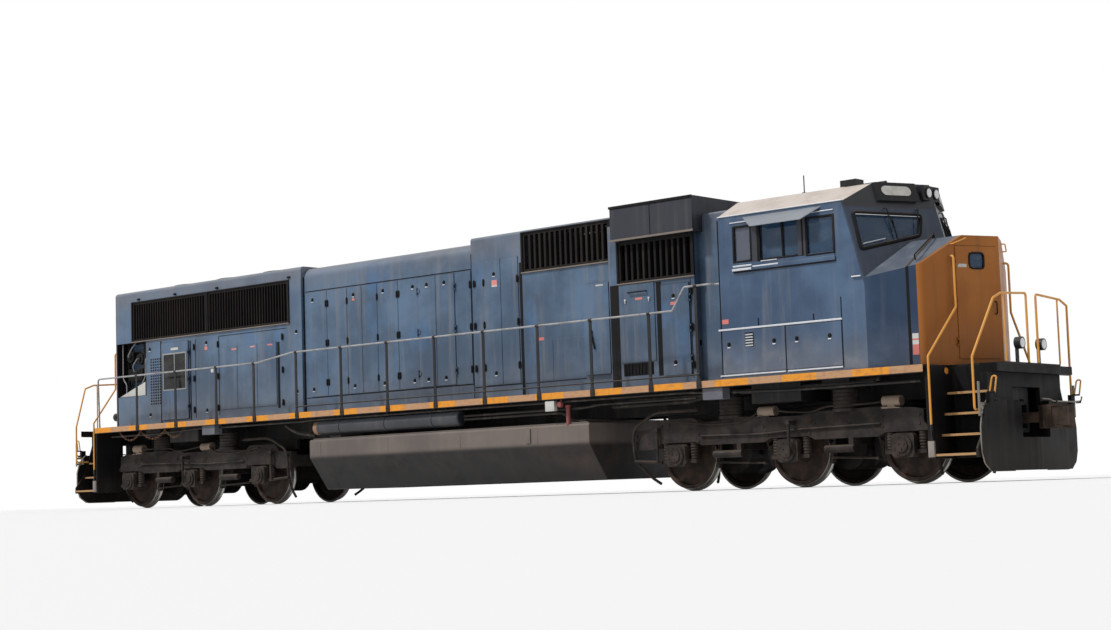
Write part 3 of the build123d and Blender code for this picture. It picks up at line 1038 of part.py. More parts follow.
# Handrails along each side: flat posts on the sill, each with an eye for the pipe
POST_X = (-8385.0, -7122.0, -5847.0, -4714.0, -3490.0, -2254.0, -1044.0, 157.0, 1337.0, 2579.0, 3740.0,
          4953.0, 5899.0)
POST_THICKNESS, POST_HALF, FOOT_HALF, FOOT_HEIGHT = 14.0, 28.0, 45.0, 110.0
RAIL_RADIUS, EYE_WALL = 17.0, 9.0
RAIL_Y = SILL_HALF_WIDTH + POST_THICKNESS / 2
# x where each level stretch of the pipe starts and ends, and its height
RAIL_LEVELS = ((-9700.0, -4600.0, 2703.0), (-3600.0, 5430.0, 2829.0), (5680.0, 6150.0, 3185.0))
RAIL_TURN = 80.0


def rail_height(x):
    return next(z for start, end, z in RAIL_LEVELS if start <= x <= end)


def post(x):
    z = rail_height(x)
    outline = [(x - FOOT_HALF, SILL_BOTTOM + 10), (x - FOOT_HALF, SILL_BOTTOM + FOOT_HEIGHT),
               (x - POST_HALF, SILL_BOTTOM + FOOT_HEIGHT + 60), (x - POST_HALF, z), (x + POST_HALF, z),
               (x + POST_HALF, SILL_BOTTOM + FOOT_HEIGHT + 60), (x + FOOT_HALF, SILL_BOTTOM + FOOT_HEIGHT),
               (x + FOOT_HALF, SILL_BOTTOM + 10)]
    body = along_y(outline, SILL_HALF_WIDTH, SILL_HALF_WIDTH + POST_THICKNESS)
    body += rod((x - POST_HALF, RAIL_Y, z), (x + POST_HALF, RAIL_Y, z), RAIL_RADIUS + EYE_WALL)
    return body - rod((x - 2 * POST_HALF, RAIL_Y, z), (x + 2 * POST_HALF, RAIL_Y, z), RAIL_RADIUS + SEAT_GAP)


def side_rail():
    points = [(RAIL_LEVELS[0][0], RAIL_Y - RAIL_RADIUS - 12, DECK_TOP + 3 * SEAT_GAP)]
    for start, end, z in RAIL_LEVELS:
        points += [(start, RAIL_Y, z), (end, RAIL_Y, z)]
    inner_y, z = CAB_HALF - 2 * RAIL_RADIUS, RAIL_LEVELS[-1][2]
    points += [(CAB_REAR - RAIL_TURN, inner_y, z), (CAB_REAR - SEAT_GAP, inner_y, z)]
    return pipe(points, RAIL_RADIUS, 60)


save("handrail_posts", [item for x in POST_X for item in mirrored(post(x))])
save("side_handrails", mirrored(side_rail()))

# End handrails: grips beside the steps and a rail across each end, open in the middle
GRIP_BOTTOM, GRIP_BEND_Z, GRIP_KNEE_Z, GRIP_TOP_Z = 750.0, 1800.0, 2530.0, 3280.0
GRIP_Y = STEP_HALF + RAIL_RADIUS + SEAT_GAP
GRIP_X = STEP_WALL_X[1] - 25.0
GRIP_FACET_S, GRIP_FACET_D = 876.0, 72.0
END_RAIL_X, END_RAIL_FOOT_X = 10778.0, 10600.0
END_RAIL_GAP_Y, END_RAIL_POST_Y, END_RAIL_CORNER_Y, END_RAIL_OUTER_Y = 150.0, 870.0, 1130.0, 1490.0
END_RAIL_Z = (1010.0, 1750.0, 2580.0, 2660.0, 2700.0)
END_POST_RADIUS = 13.0


def grip(anchor, top):
    """The outer grip: from the body at anchor out to top, down its side of the stair to the wall's edge."""
    points = [(*anchor, GRIP_TOP_Z), (*top, GRIP_TOP_Z), (*top, GRIP_KNEE_Z), (GRIP_X, GRIP_Y, GRIP_BEND_Z),
              (GRIP_X, GRIP_Y, GRIP_BOTTOM)]
    return pipe(points, RAIL_RADIUS, 45)


def end_rail():
    low, knee, shoulder, top, middle = END_RAIL_Z
    points = [(END_RAIL_FOOT_X, TREADS[2][1] + 25, low), (END_RAIL_FOOT_X, END_RAIL_OUTER_Y, low),
              (END_RAIL_FOOT_X, END_RAIL_OUTER_Y, knee), (END_RAIL_X, END_RAIL_CORNER_Y, shoulder),
              (END_RAIL_X, END_RAIL_POST_Y + 40, top), (END_RAIL_X, END_RAIL_GAP_Y, middle),
              (END_RAIL_X, END_RAIL_GAP_Y, DECK_TOP + SEAT_GAP)]
    rail = pipe(points, RAIL_RADIUS, 40)
    foot = (END_RAIL_X, END_RAIL_POST_Y - 45, DECK_TOP + SEAT_GAP)
    return rail + rod(foot, (END_RAIL_X, END_RAIL_POST_Y - 45, (top + middle) / 2 - 15), END_POST_RADIUS)


front_anchor = [abs(v) for v in facet_point(GRIP_FACET_S, SEAT_GAP, 0)[:2]]
front_top = [abs(v) for v in facet_point(GRIP_FACET_S, GRIP_FACET_D, 0)[:2]]
rear_y = RADIATOR_HALF - 90
front_rails = mirrored(grip(front_anchor, front_top)) + mirrored(end_rail())
rear_rails = mirrored(grip((-RADIATOR_X[0] + SEAT_GAP, rear_y),
                           (STEP_WALL_X[1] + 70, rear_y))) + mirrored(end_rail())
save("end_handrails", front_rails, [turned(item) for item in rear_rails])

os.makedirs("parts", exist_ok=True)
for name, shape in nodes.items():
    export_step(shape, f"parts/{name}.step")
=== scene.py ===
from collections import defaultdict
from math import cos, pi, radians, sin, tau

import bmesh
import bpy
from mathutils import Matrix, Quaternion, Vector


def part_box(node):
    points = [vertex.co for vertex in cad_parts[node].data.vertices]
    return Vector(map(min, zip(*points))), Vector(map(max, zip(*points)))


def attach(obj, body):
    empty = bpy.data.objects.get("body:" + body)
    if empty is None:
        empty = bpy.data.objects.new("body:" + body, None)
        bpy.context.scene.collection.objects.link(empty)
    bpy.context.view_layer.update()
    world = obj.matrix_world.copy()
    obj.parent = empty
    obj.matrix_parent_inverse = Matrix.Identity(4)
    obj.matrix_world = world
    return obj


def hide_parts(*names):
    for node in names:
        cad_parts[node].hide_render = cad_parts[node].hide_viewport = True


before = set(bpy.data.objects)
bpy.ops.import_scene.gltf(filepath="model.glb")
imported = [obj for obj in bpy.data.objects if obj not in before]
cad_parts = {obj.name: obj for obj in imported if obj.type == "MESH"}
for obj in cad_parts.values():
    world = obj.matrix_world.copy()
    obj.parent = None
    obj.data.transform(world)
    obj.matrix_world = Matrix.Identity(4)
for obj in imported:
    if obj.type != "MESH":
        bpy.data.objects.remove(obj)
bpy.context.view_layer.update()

# Underframe: welded plate sills and deck, the frame that everything else is bolted to.
# Its sill faces carry a worn band of orange and tan reflective blocks; the deck is tread plate,
# and all below it is black paint under years of brake dust.


class Socket:
    """A socket of a material's nodes. Arithmetic on it adds Math nodes."""

    def __init__(self, tree, out=None):
        self.tree, self.out = tree, out

    def node(self, kind, settings=None, inputs=None, output=0):
        """Add a node: its settings first, then the values or links of its sockets."""
        made = self.tree.nodes.new("ShaderNode" + kind)
        for name, value in (settings or {}).items():
            setattr(made, name, value)
        for name, value in (inputs or {}).items():
            if isinstance(value, Socket):
                self.tree.links.new(value.out, made.inputs[name])
            else:
                made.inputs[name].default_value = value
        return Socket(self.tree, made.outputs[output])

    def math(self, operation, first, second=0.0):
        return self.node("Math", {"operation": operation}, {0: first, 1: second})

    def __add__(self, other):
        return self.math("ADD", self, other)

    def __sub__(self, other):
        return self.math("SUBTRACT", self, other)

    def __rsub__(self, other):
        return self.math("SUBTRACT", other, self)

    def __mul__(self, other):
        return self.math("MULTIPLY", self, other)

    __radd__ = __add__

    def wrap(self, length):
        """The rest of a division by length, never negative."""
        return self.math("FLOORED_MODULO", self, length)

    def size(self):
        return self.math("ABSOLUTE", self)

    def wave(self, turns):
        return self.math("SINE", self * turns)

    def above(self, limit):
        return self.math("GREATER_THAN", self, limit)

    def ramp(self, low, high):
        """0 at low, 1 at high, smooth between them and level beyond them."""
        places = {"Value": self, "From Min": low, "From Max": high}
        return self.node("MapRange", {"interpolation_type": "SMOOTHSTEP"}, places)

    def mix(self, bare, covered):
        """One colour where this is 0, the other where it is 1."""
        return self.node("Mix", {"data_type": "RGBA"}, {0: self, 6: bare, 7: covered}, 2)


class Finish:
    """A material in the making, with the place and the facing of each point of the surface."""

    def __init__(self, name):
        self.material = bpy.data.materials.new(name)
        self.material.use_nodes = True
        self.start = Socket(self.material.node_tree)
        self.place = self.start.node("TexCoord", output="Object")
        self.x, self.y, self.z = (self.start.node("SeparateXYZ", {}, {0: self.place}, n) for n in range(3))
        facing = self.start.node("TexCoord", output="Normal")
        self.facing = [self.start.node("SeparateXYZ", {}, {0: facing}, n) for n in range(3)]

    def noise(self, scale, detail=4.0, stretch=(1, 1, 1), roughness=0.6):
        drawn = self.start.node("VectorMath", {"operation": "MULTIPLY"}, {0: self.place, 1: stretch})
        sockets = {"Vector": drawn, "Scale": scale, "Detail": detail, "Roughness": roughness}
        return self.start.node("TexNoise", {}, sockets)

    def crevice(self, distance):
        """1 deep in a corner, 0 out in the open."""
        open_sky = self.start.node("AmbientOcclusion", {"samples": 4}, {"Distance": distance}, "AO")
        return 1 - open_sky

    def edge(self, radius):
        """1 along a sharp edge."""
        rounded = self.start.node("Bevel", {"samples": 4}, {"Radius": radius})
        flat = self.start.node("NewGeometry", output="Normal")
        match = self.start.node("VectorMath", {"operation": "DOT_PRODUCT"}, {0: rounded, 1: flat}, "Value")
        return (1 - match).ramp(0.02, 0.25)

    def bump(self, height, strength, distance=0.002):
        sockets = {"Height": height, "Strength": strength, "Distance": distance}
        return self.start.node("Bump", {}, sockets)

    def done(self, **sockets):
        """Join the last sockets to the shader: Base_Color is its Base Color, and so on."""
        shader = self.material.node_tree.nodes["Principled BSDF"]
        for name, value in sockets.items():
            target = shader.inputs[name.replace("_", " ")]
            if isinstance(value, Socket):
                self.material.node_tree.links.new(value.out, target)
            else:
                target.default_value = value
        return self.material


def tint(red, green, blue):
    """A colour of 0 to 255 steps, as the shader takes it."""
    return tuple((step / 255 / 12.92 if step < 11 else ((step / 255 + 0.055) / 1.055) ** 2.4)
                 for step in (red, green, blue)) + (1.0,)


# The first of these colours is soot on the wheels' hubs and also painted shade, laid in corners and under
# the tank.
SOOT_AND_SHADE, DUST, RUST = tint(20, 18, 17), tint(124, 112, 100), tint(104, 62, 40)
VIVID_BLUE, CHALK, CHALK_Z = tint(66, 112, 158), tint(104, 105, 111), (3.9, 4.5)
EDGE_RADIUS = 0.012


def weather(f, colour, faded, streaks=0.35, low=0.0, top=0.55, dust=DUST, low_z=(2.6, 1.6), chalk=0.0,
            vivid=0.0):
    """Paint that has faded in patches and stayed vivid in others, with washed-down dirt, dust low down and
    on its ledges, chalk near the roof, and grime with painted shade in its corners; also gives the clouds
    that draw it."""
    cloud = f.noise(0.55, 6).ramp(0.40, 0.66)
    patch = f.noise(2.6, 7).ramp(0.45, 0.72)
    washed = f.noise(1.0, 6, (7, 7, 0.45)).ramp(0.48, 0.76)
    body = (cloud * 0.7 + patch * 0.15).mix(colour, faded)
    body = (f.noise(0.9, 6, (1, 1, 0.7)).ramp(0.53, 0.68) * vivid).mix(body, VIVID_BLUE)
    body = (washed * streaks).mix(body, dust)
    body = (f.z.ramp(*low_z) * (patch * 0.5 + 0.5) * low).mix(body, dust)
    body = (f.z.ramp(*CHALK_Z) * (patch * 0.4 + 0.6) * chalk).mix(body, CHALK)
    body = (f.facing[2].ramp(0.45, 0.9) * (patch * 0.4 + 0.6) * top).mix(body, dust)
    # Painted shade with grime: darker wherever ambient occlusion finds a corner.
    body = (f.crevice(0.10).ramp(0.25, 0.9) * 0.65).mix(body, SOOT_AND_SHADE)
    return body, cloud, patch


def coat(f, body, roughness, chips=0.3, shine=0.5):
    """Close off a paint: chipped down to rust along its sharp edges, and finely pitted."""
    chip = f.edge(EDGE_RADIUS) * f.noise(9, 5).ramp(0.52, 0.62) * chips
    return f.done(Base_Color=chip.mix(body, RUST), Roughness=roughness, Normal=f.bump(f.noise(60, 3), 0.12),
                  Specular_IOR_Level=shine)


def painted(name, colour, faded, rough=0.42, chips=0.3, shine=0.4, **wear):
    f = Finish(name)
    body, cloud, patch = weather(f, colour, faded, **wear)
    return coat(f, body, patch * 0.16 + cloud * 0.08 + rough, chips, shine)


def dress(material, slot, *names):
    """Give one material to CAD nodes that keep their shape."""
    for name in names:
        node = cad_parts[name]
        node.data.materials.clear()
        node.data.materials.append(material)


DECK_Z, SILL_FACE_Y, BAND_LOW, BAND_BLOCK = 1.693, 1.561, 1.588, 0.62
PAD_X, PAD_HALF, PAD_INNER_Y = 6.14, 0.22, 1.33
f = Finish("frame_plate")
black, _, patch = weather(f, tint(22, 21, 21), tint(40, 37, 35), top=0.5, streaks=0.15)
block_on = f.x.wrap(2 * BAND_BLOCK).above(BAND_BLOCK)
worn = f.noise(7, 6, (1, 1, 2.5)).ramp(0.46, 0.66)
band = block_on.mix(tint(214, 140, 42), tint(176, 136, 102))
band = (worn * 0.45).mix(band, tint(142, 104, 74))
band = (f.noise(2, 5, (4, 1, 0.3)).ramp(0.55, 0.75) * 0.5).mix(band, tint(96, 76, 62))
on_band = f.y.size().above(SILL_FACE_Y) * f.z.above(BAND_LOW)
lugs = ((f.x + f.y).wave(160) * (f.x - f.y).wave(160)).ramp(0.55, 0.8)
on_deck = f.facing[2].above(0.9) * f.z.above(DECK_Z - 0.01)
plate = (on_deck * 0.8).mix(black, tint(74, 72, 72))
plate = (on_deck * lugs * 0.4).mix(plate, tint(122, 118, 114))
near_pad = (f.x.size() - PAD_X).size().ramp(PAD_HALF, PAD_HALF - 0.02)
on_pad = f.y.size().above(PAD_INNER_Y) * near_pad * f.z.ramp(BAND_LOW - 0.01, BAND_LOW - 0.02)
plate = (on_pad * 0.85).mix(plate, patch.mix(tint(96, 98, 106), tint(124, 124, 128)))
frame_plate = f.done(Base_Color=on_band.mix(plate, band), Roughness=patch * 0.2 + 0.55,
                     Specular_IOR_Level=0.25,
                     Normal=f.bump(lugs * on_deck + f.noise(40, 4) * 0.25, 0.3, 0.003))
dress(frame_plate, "black_paint", "underframe")

# Fuel tank: one long welded box of heavy plate, hung under the frame.
# Its upright upper sides are pale with road dust; its sloping sides are darker with painted shade, mottled
# by old fuel, and painted shade darkens it further towards the bottom.


def to_mesh(bm, name):
    mesh = bpy.data.meshes.new(name)
    bm.to_mesh(mesh)
    bm.free()
    return mesh


def link_piece(mesh, name, material, body="locomotive"):
    """Make a mesh a piece of the locomotive that rides on one body."""
    mesh.materials.append(material)
    piece = bpy.data.objects.new(name, mesh)
    bpy.context.scene.collection.objects.link(piece)
    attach(piece, body)
    return piece


def finish_piece(bm, name, material, smooth=None, body="locomotive"):
    """Close off a bmesh as one piece; smooth is the sharpest angle that is still shaded smooth."""
    mesh = to_mesh(bm, name)
    if smooth:
        mesh.shade_smooth()
        mesh.set_sharp_from_angle(angle=radians(smooth))
    link_piece(mesh, name, material, body)


def add_block(bm, low, high, bevel=0.0, turn=None):
    """A block between two corners, with its edges broken by bevel."""
    size = Vector([abs(b - a) for a, b in zip(low, high)])
    centre = (Vector(low) + Vector(high)) / 2
    made = bmesh.ops.create_cube(bm, size=1.0, matrix=Matrix.LocRotScale(centre, turn, size))
    if bevel:
        edges = {edge for vert in made["verts"] for edge in vert.link_edges}
        bmesh.ops.bevel(bm, geom=list(edges), offset=bevel, offset_type="OFFSET", segments=2, profile=0.5,
                        affect="EDGES", material=-1)


def add_rod(bm, start, end, radius, sides=12, tip=None):
    """A round bar; tip is its radius at the far end."""
    start, end = Vector(start), Vector(end)
    run = end - start
    turn = Vector((0, 0, 1)).rotation_difference(run)
    bmesh.ops.create_cone(bm, cap_ends=True, segments=sides, radius1=radius,
                          radius2=radius if tip is None else tip, depth=run.length,
                          matrix=Matrix.LocRotScale((start + end) / 2, turn, None))


def both_sides(bm):
    """Mirror a bmesh to the other side of the locomotive."""
    bmesh.ops.mirror(bm, geom=bm.verts[:] + bm.edges[:] + bm.faces[:], axis="Y", merge_dist=-1.0)
    bmesh.ops.recalc_face_normals(bm, faces=bm.faces[:])


def build(name, material, blocks=(), rods=(), smooth=None, copies=both_sides, place=None,
          body="locomotive"):
    """One piece from rows of what add_block and add_rod take; copies repeats it and place then moves it."""
    bm = bmesh.new()
    for row in blocks:
        add_block(bm, *row)
    for row in rods:
        add_rod(bm, *row)
    if copies:
        copies(bm)
    if place:
        bm.transform(place)
    finish_piece(bm, name, material, smooth, body)


def about(middle, half):
    return middle - half, middle + half


def skin(face, inner, outer, side=1):
    """The span in Y between two distances out from a face, on the left (1) or the right (-1)."""
    return side * (face + inner), side * (face + outer)


def slab(x, y, z, bevel=0.0, turn=None):
    """A block's row from its spans in X, Y and Z."""
    return *zip(x, y, z), bevel, turn


def stub(x, z, y, radius, sides, tip=None):
    """The row of a rod that stands out sideways, between the two values of y."""
    return (x, y[0], z), (x, y[1], z), radius, sides, tip


TANK_REAR, TANK_FRONT, TANK_SIDE, TANK_KNEE, TANK_TOP = -3.29, 3.53, 1.44, 0.83, 1.17
f = Finish("tank_plate")
upper, _, patch = weather(f, tint(90, 82, 78), tint(112, 102, 96), streaks=0.25, top=0.7)
wet = f.noise(1.2, 6, (3, 3, 0.7)).ramp(0.40, 0.70)
shaded_lower = wet.mix(tint(28, 26, 25), tint(44, 38, 34))
rusty = f.x.ramp(1.5, 3.6) * f.noise(1.6, 5).ramp(0.35, 0.65)
# Painted shade: below the knee the tank takes the darker of its two tones.
tank_tone = f.z.ramp(TANK_KNEE + 0.07, TANK_KNEE - 0.04).mix(upper, shaded_lower)
tank_tone = (rusty * 0.35).mix(tank_tone, tint(94, 66, 54))
# Painted shade: darker towards the bottom of the tank.
tank_tone = (f.z.ramp(0.62, 0.26) * 0.75).mix(tank_tone, SOOT_AND_SHADE)
tank_plate = f.done(Base_Color=tank_tone, Roughness=patch * 0.15 + 0.42, Specular_IOR_Level=0.3,
                    Normal=f.bump(f.noise(22, 5), 0.12, 0.004))
dress(tank_plate, "tank_paint", "fuel_tank")

GAUGE_X, SEAM_XS = 2.2, (-3.0, -1.2, 0.6, 2.4)
f = Finish("weld_bead")
bead, _, _ = weather(f, tint(82, 75, 70), tint(104, 94, 86))
weld_bead = f.done(Base_Color=bead, Roughness=0.6, Normal=f.bump(f.noise(90, 3), 0.4))
gauge = slab(about(GAUGE_X, 0.05), skin(TANK_SIDE, -0.005, 0.02), (0.88, 1.12), 0.006)
beads = [slab(about(x, 0.006), skin(TANK_SIDE, -0.01, 0.004), (TANK_KNEE + 0.03, TANK_TOP - 0.05), 0.002)
         for x in SEAM_XS]
rim = slab((TANK_REAR + 0.05, TANK_FRONT - 0.05), skin(TANK_SIDE, -0.06, -0.045),
           (TANK_TOP - 0.004, TANK_TOP + 0.02), 0.003)
build("tank_fittings", weld_bead, [gauge, *beads, rim], smooth=40)

# Red filler pipe of the tank, a pale red button on its own bracket beside it, and a level switch in a
# white box.
FILLER_X, FILLER_Y, FILLER_TOP = 3.07, TANK_SIDE - 0.03, TANK_TOP + 0.27
BUTTON_X, BUTTON_Z, SWITCH_X = 3.0, 1.49, (2.68, 2.88)
red_paint = painted("red_paint", tint(112, 44, 44), tint(142, 78, 74), top=0.2)
white_paint = painted("white_paint", tint(196, 196, 192), tint(170, 168, 160), top=0.1, streaks=0.3)
bracket = slab(about(BUTTON_X, 0.015), (1.49, 1.505), (1.48, 1.58), 0.003)
pipe = ((FILLER_X, FILLER_Y, TANK_TOP - 0.02), (FILLER_X, FILLER_Y, FILLER_TOP), 0.036, 20)
cap = ((FILLER_X, FILLER_Y, FILLER_TOP), (FILLER_X, FILLER_Y, FILLER_TOP + 0.04), 0.05, 20)
button = stub(BUTTON_X, BUTTON_Z, (1.50, 1.556), 0.05, 24, 0.042)
switch_box = slab(SWITCH_X, (1.46, 1.545), (1.39, 1.56), 0.006)
build("filler_pipes", red_paint, [bracket], [pipe, cap, button], smooth=40)
build("switch_boxes", white_paint, [switch_box], smooth=40)

# Air reservoirs and the pipes under the sills: rolled steel drums held by straps, and black iron
# pipe clipped up under the frame between the bogies.
RESERVOIR_CAP_X = -3.08
f = Finish("reservoir_paint")
drum, cloud, patch = weather(f, tint(34, 36, 42), tint(62, 64, 70), top=0.35, streaks=0.15)
# Painted light: the drum is paler on its upward-facing side, as if lit from above.
drum = (f.facing[2].ramp(0.1, 0.8) * 0.5).mix(drum, tint(118, 124, 134))
on_cap = f.x.ramp(RESERVOIR_CAP_X + 0.01, RESERVOIR_CAP_X)
drum = (on_cap * (patch * 0.4 + 0.6)).mix(drum, tint(164, 122, 92))
reservoir_paint = f.done(Base_Color=drum, Roughness=patch * 0.16 + cloud * 0.08 + 0.28)
dress(reservoir_paint, "black_paint", "air_reservoirs")


def bend(points, radius):
    """A curve's control points for straight runs that turn each corner with the same radius."""
    points = [Vector(point) for point in points]
    knots = [(points[0], points[0], points[0])]
    for before, corner, after in zip(points, points[1:], points[2:]):
        inward, outward = (before - corner).normalized(), (after - corner).normalized()
        reach = min(radius, (before - corner).length * 0.45, (after - corner).length * 0.45)
        first, last = corner + inward * reach, corner + outward * reach
        knots.append((first, first + inward * reach * 0.3, first - inward * reach * 0.55))
        knots.append((last, last - outward * reach * 0.55, last + outward * reach * 0.3))
    return knots + [(points[-1], points[-1], points[-1])]


def applied(piece):
    """The mesh of a piece, with its curve or its modifiers as they stand."""
    return bpy.data.meshes.new_from_object(piece.evaluated_get(bpy.context.evaluated_depsgraph_get()))


def pipework(name, runs, radius, material, turn=0.06, body="locomotive"):
    """Round pipe along each run, joined in one piece."""
    curve = bpy.data.curves.new(name, "CURVE")
    curve.dimensions, curve.bevel_depth, curve.bevel_resolution = "3D", radius, 4
    curve.use_fill_caps, curve.resolution_u = True, 5
    for run in runs:
        knots = bend(run, turn)
        spline = curve.splines.new("BEZIER")
        spline.bezier_points.add(len(knots) - 1)
        for point, (middle, left, right) in zip(spline.bezier_points, knots):
            point.handle_left_type = point.handle_right_type = "FREE"
            point.co, point.handle_left, point.handle_right = middle, left, right
    source = bpy.data.objects.new(name, curve)
    bpy.context.scene.collection.objects.link(source)
    bpy.context.view_layer.update()
    mesh = applied(source)
    bpy.data.objects.remove(source)
    mesh.name = name
    mesh.materials.clear()
    link_piece(mesh, name, material, body)


def mirrored(runs):
    return runs + [[(x, -y, z) for x, y, z in run] for run in runs]


pipe_paint = painted("pipe_paint", tint(34, 32, 31), tint(58, 53, 49), rough=0.5, top=0.4, shine=0.3)
pipework("sill_pipes", mirrored([
    [(-6.0, 1.40, 1.53), (-3.5, 1.40, 1.53), (-3.3, 1.44, 1.54), (5.6, 1.44, 1.54), (5.9, 1.30, 1.52),
     (8.9, 1.30, 1.52)],
    [(0.62, 1.33, 1.42), (3.4, 1.33, 1.42), (3.6, 1.25, 1.46), (5.6, 1.25, 1.46)],
    [(0.62, 1.33, 1.36), (2.9, 1.33, 1.36), (3.0, 1.28, 1.24), (3.35, 1.28, 1.19)],
    [(-9.6, 1.30, 1.50), (-8.0, 1.30, 1.50), (-6.4, 1.42, 1.545)],
    [(6.4, 1.36, 1.50), (7.5, 1.36, 1.47), (9.7, 1.36, 1.47)],
]), 0.021, pipe_paint, turn=0.15)
pipework("sill_cable_runs", mirrored([
    [(-4.2, 1.22, 1.49), (-3.9, 1.22, 1.33), (-3.5, 1.22, 1.28), (-3.36, 1.22, 1.26)],
    [(4.2, 1.12, 1.50), (6.5, 1.12, 1.50), (8.9, 1.16, 1.56)],
    [(3.7, 1.0, 1.42), (5.4, 1.0, 1.42), (5.8, 1.0, 1.55)],
]), 0.036, pipe_paint, turn=0.2)

# Chain hung in loops from hooks under the rear of the sill: welded steel links, brown with rust.
CHAIN_HOOKS, CHAIN_TOP, CHAIN_SAG, CHAIN_Y = (-9.05, -8.35, -7.55, -6.95), 1.565, 0.17, 1.505
LINK_LENGTH, LINK_WIDTH, LINK_WIRE, LINK_PITCH = 0.058, 0.036, 0.0065, 0.046
# X of the two brake cylinders on each side frame, and the height from which they are dusty
DRUM_XS, DRUM_BOTTOM = (6.80, 9.02), 1.115


def bridge(bm, rings):
    """Join each ring of vertices to the next one."""
    for ring, following in zip(rings, rings[1:]):
        for first in range(len(ring)):
            second = (first + 1) % len(ring)
            bm.faces.new((ring[first], ring[second], following[second], following[first]))


def add_link(bm, centre, along, across, steps=8, sides=5):
    """One link: an oval ring of wire that lies along one direction."""
    normal = along.cross(across)
    rings = []
    for step in range(steps):
        turn = tau * step / steps
        out = along * cos(turn) + across * sin(turn)
        middle = centre + along * cos(turn) * LINK_LENGTH / 2 + across * sin(turn) * LINK_WIDTH / 2
        angles = [tau * side / sides for side in range(sides)]
        rings.append([bm.verts.new(middle + (out * cos(a) + normal * sin(a)) * LINK_WIRE) for a in angles])
    bridge(bm, rings + rings[:1])


def cast(name, dark, pale, oily=0.3, drums=False):
    """Rough cast iron; drums gives the brake cylinders on top of the side frames their pale dust."""
    f = Finish(name)
    lump = f.noise(5, 7)
    body = lump.ramp(0.35, 0.7).mix(dark, pale)
    body = (f.facing[2].ramp(0.3, 0.9) * 0.5).mix(body, tint(96, 84, 72))
    # Painted shade with grime: darker wherever ambient occlusion finds a corner.
    body = (f.crevice(0.08).ramp(0.3, 0.9) * 0.7).mix(body, SOOT_AND_SHADE)
    rusty = f.noise(3.3, 6).ramp(0.56, 0.72) * 0.35
    oil = f.noise(1.4, 4, (1, 1, 0.5)).ramp(0.5, 0.66) * oily
    if drums:
        along = f.x.size()
        near = sum(((along - middle).size().ramp(0.17, 0.14) for middle in DRUM_XS), 0.0)
        body = (near * f.z.above(DRUM_BOTTOM) * (lump * 0.5 + 0.45)).mix(body, tint(168, 148, 130))
    return f.done(Base_Color=rusty.mix(body, tint(76, 54, 42)), Roughness=0.78 - oil,
                  Normal=f.bump(f.noise(45, 6), 0.35, 0.004), Specular_IOR_Level=0.22)


rusty_steel = cast("rusty_steel", tint(70, 48, 36), tint(118, 84, 62), oily=0.0)
bm = bmesh.new()
for rear_hook, front_hook in zip(CHAIN_HOOKS, CHAIN_HOOKS[1:]):
    run = front_hook - rear_hook
    count = round(run / LINK_PITCH)
    for number in range(count + 1):
        share = number / count
        slope = -CHAIN_SAG * 4 * (1 - 2 * share) / run
        along = Vector((1, 0, slope)).normalized()
        across = Vector((0, 1, 0)) if number % 2 else along.cross(Vector((0, 1, 0)))
        drop = CHAIN_SAG * 4 * share * (1 - share)
        add_link(bm, Vector((rear_hook + run * share, CHAIN_Y, CHAIN_TOP - drop)), along, across)
for hook in CHAIN_HOOKS:
    add_rod(bm, (hook, CHAIN_Y, CHAIN_TOP - 0.01), (hook, CHAIN_Y, CHAIN_TOP + 0.03), 0.008, 8)
both_sides(bm)
finish_piece(bm, "chain_loops", rusty_steel, 60)

# Wheelsets: forged steel wheels pressed on the axle. The treads run bright on the rail, the plates
# are brown with rust and brake dust, and oil from the journals darkens the hubs.
TREAD_R, FLANGE_R = 0.5334, 0.5614
AXLE_Z = FLANGE_R
AXLE_XS = [min(corner.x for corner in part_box(f"wheelset_{number}")) + FLANGE_R for number in range(1, 7)]
for number, axle_x in enumerate(AXLE_XS, start=1):
    f = Finish(f"wheel_steel_{number}")
    across, up = f.x - axle_x, f.z - AXLE_Z
    radius = f.start.math("SQRT", across * across + up * up)
    rust = f.noise(6, 6).ramp(0.35, 0.7).mix(tint(36, 29, 26), tint(66, 50, 41))
    rust = (radius.ramp(0.24, 0.14) * 0.6).mix(rust, SOOT_AND_SHADE)
    worn_tread = radius.ramp(TREAD_R - 0.012, TREAD_R - 0.005) * f.y.size().ramp(0.66, 0.69)
    steel = f.noise(30, 4, (1, 6, 1)).mix(tint(150, 146, 140), tint(196, 193, 188))
    bright = f.done(Base_Color=worn_tread.mix(rust, steel), Metallic=worn_tread * 0.9,
                    Roughness=0.75 - worn_tread * 0.45, Normal=f.bump(f.noise(35, 5), 0.2, 0.003),
                    Specular_IOR_Level=0.25)
    dress(bright, "wheel_steel", f"wheelset_{number}")

# Bogies: cast steel side frames, axle boxes and springs, and the motors between the wheels.
# All of it is one dark crust of oil and brake dust, with pale dust on the ledges.
bogie_iron = cast("bogie_iron", tint(30, 27, 26), tint(54, 47, 43), drums=True)
cap_iron = cast("cap_iron", tint(88, 58, 48), tint(128, 88, 72), oily=0.2)
box_iron = cast("box_iron", tint(34, 30, 28), tint(60, 51, 45), oily=0.45)
motor_iron = cast("motor_iron", tint(22, 20, 19), tint(38, 34, 31), oily=0.5)
for end in ("front", "rear"):
    dress(bogie_iron, "cast_frame", f"bogie_frame_{end}")
    dress(box_iron, "cast_frame", f"axle_boxes_{end}")
    dress(motor_iron, "cast_frame", f"traction_motors_{end}")

# Bogie rigging: bolts on the side frames and axle boxes, brake shoes on hangers beside the treads, pull
# rods, air pipes clipped to the frame, sand pipes that end above the rail, a rubber bellows over each
# motor and trays for its cables.
BOGIE_X, AXLE_OFFSETS, FRAME_FACE_Y = 7.17, (-2.07, 0.057, 2.07), 1.11
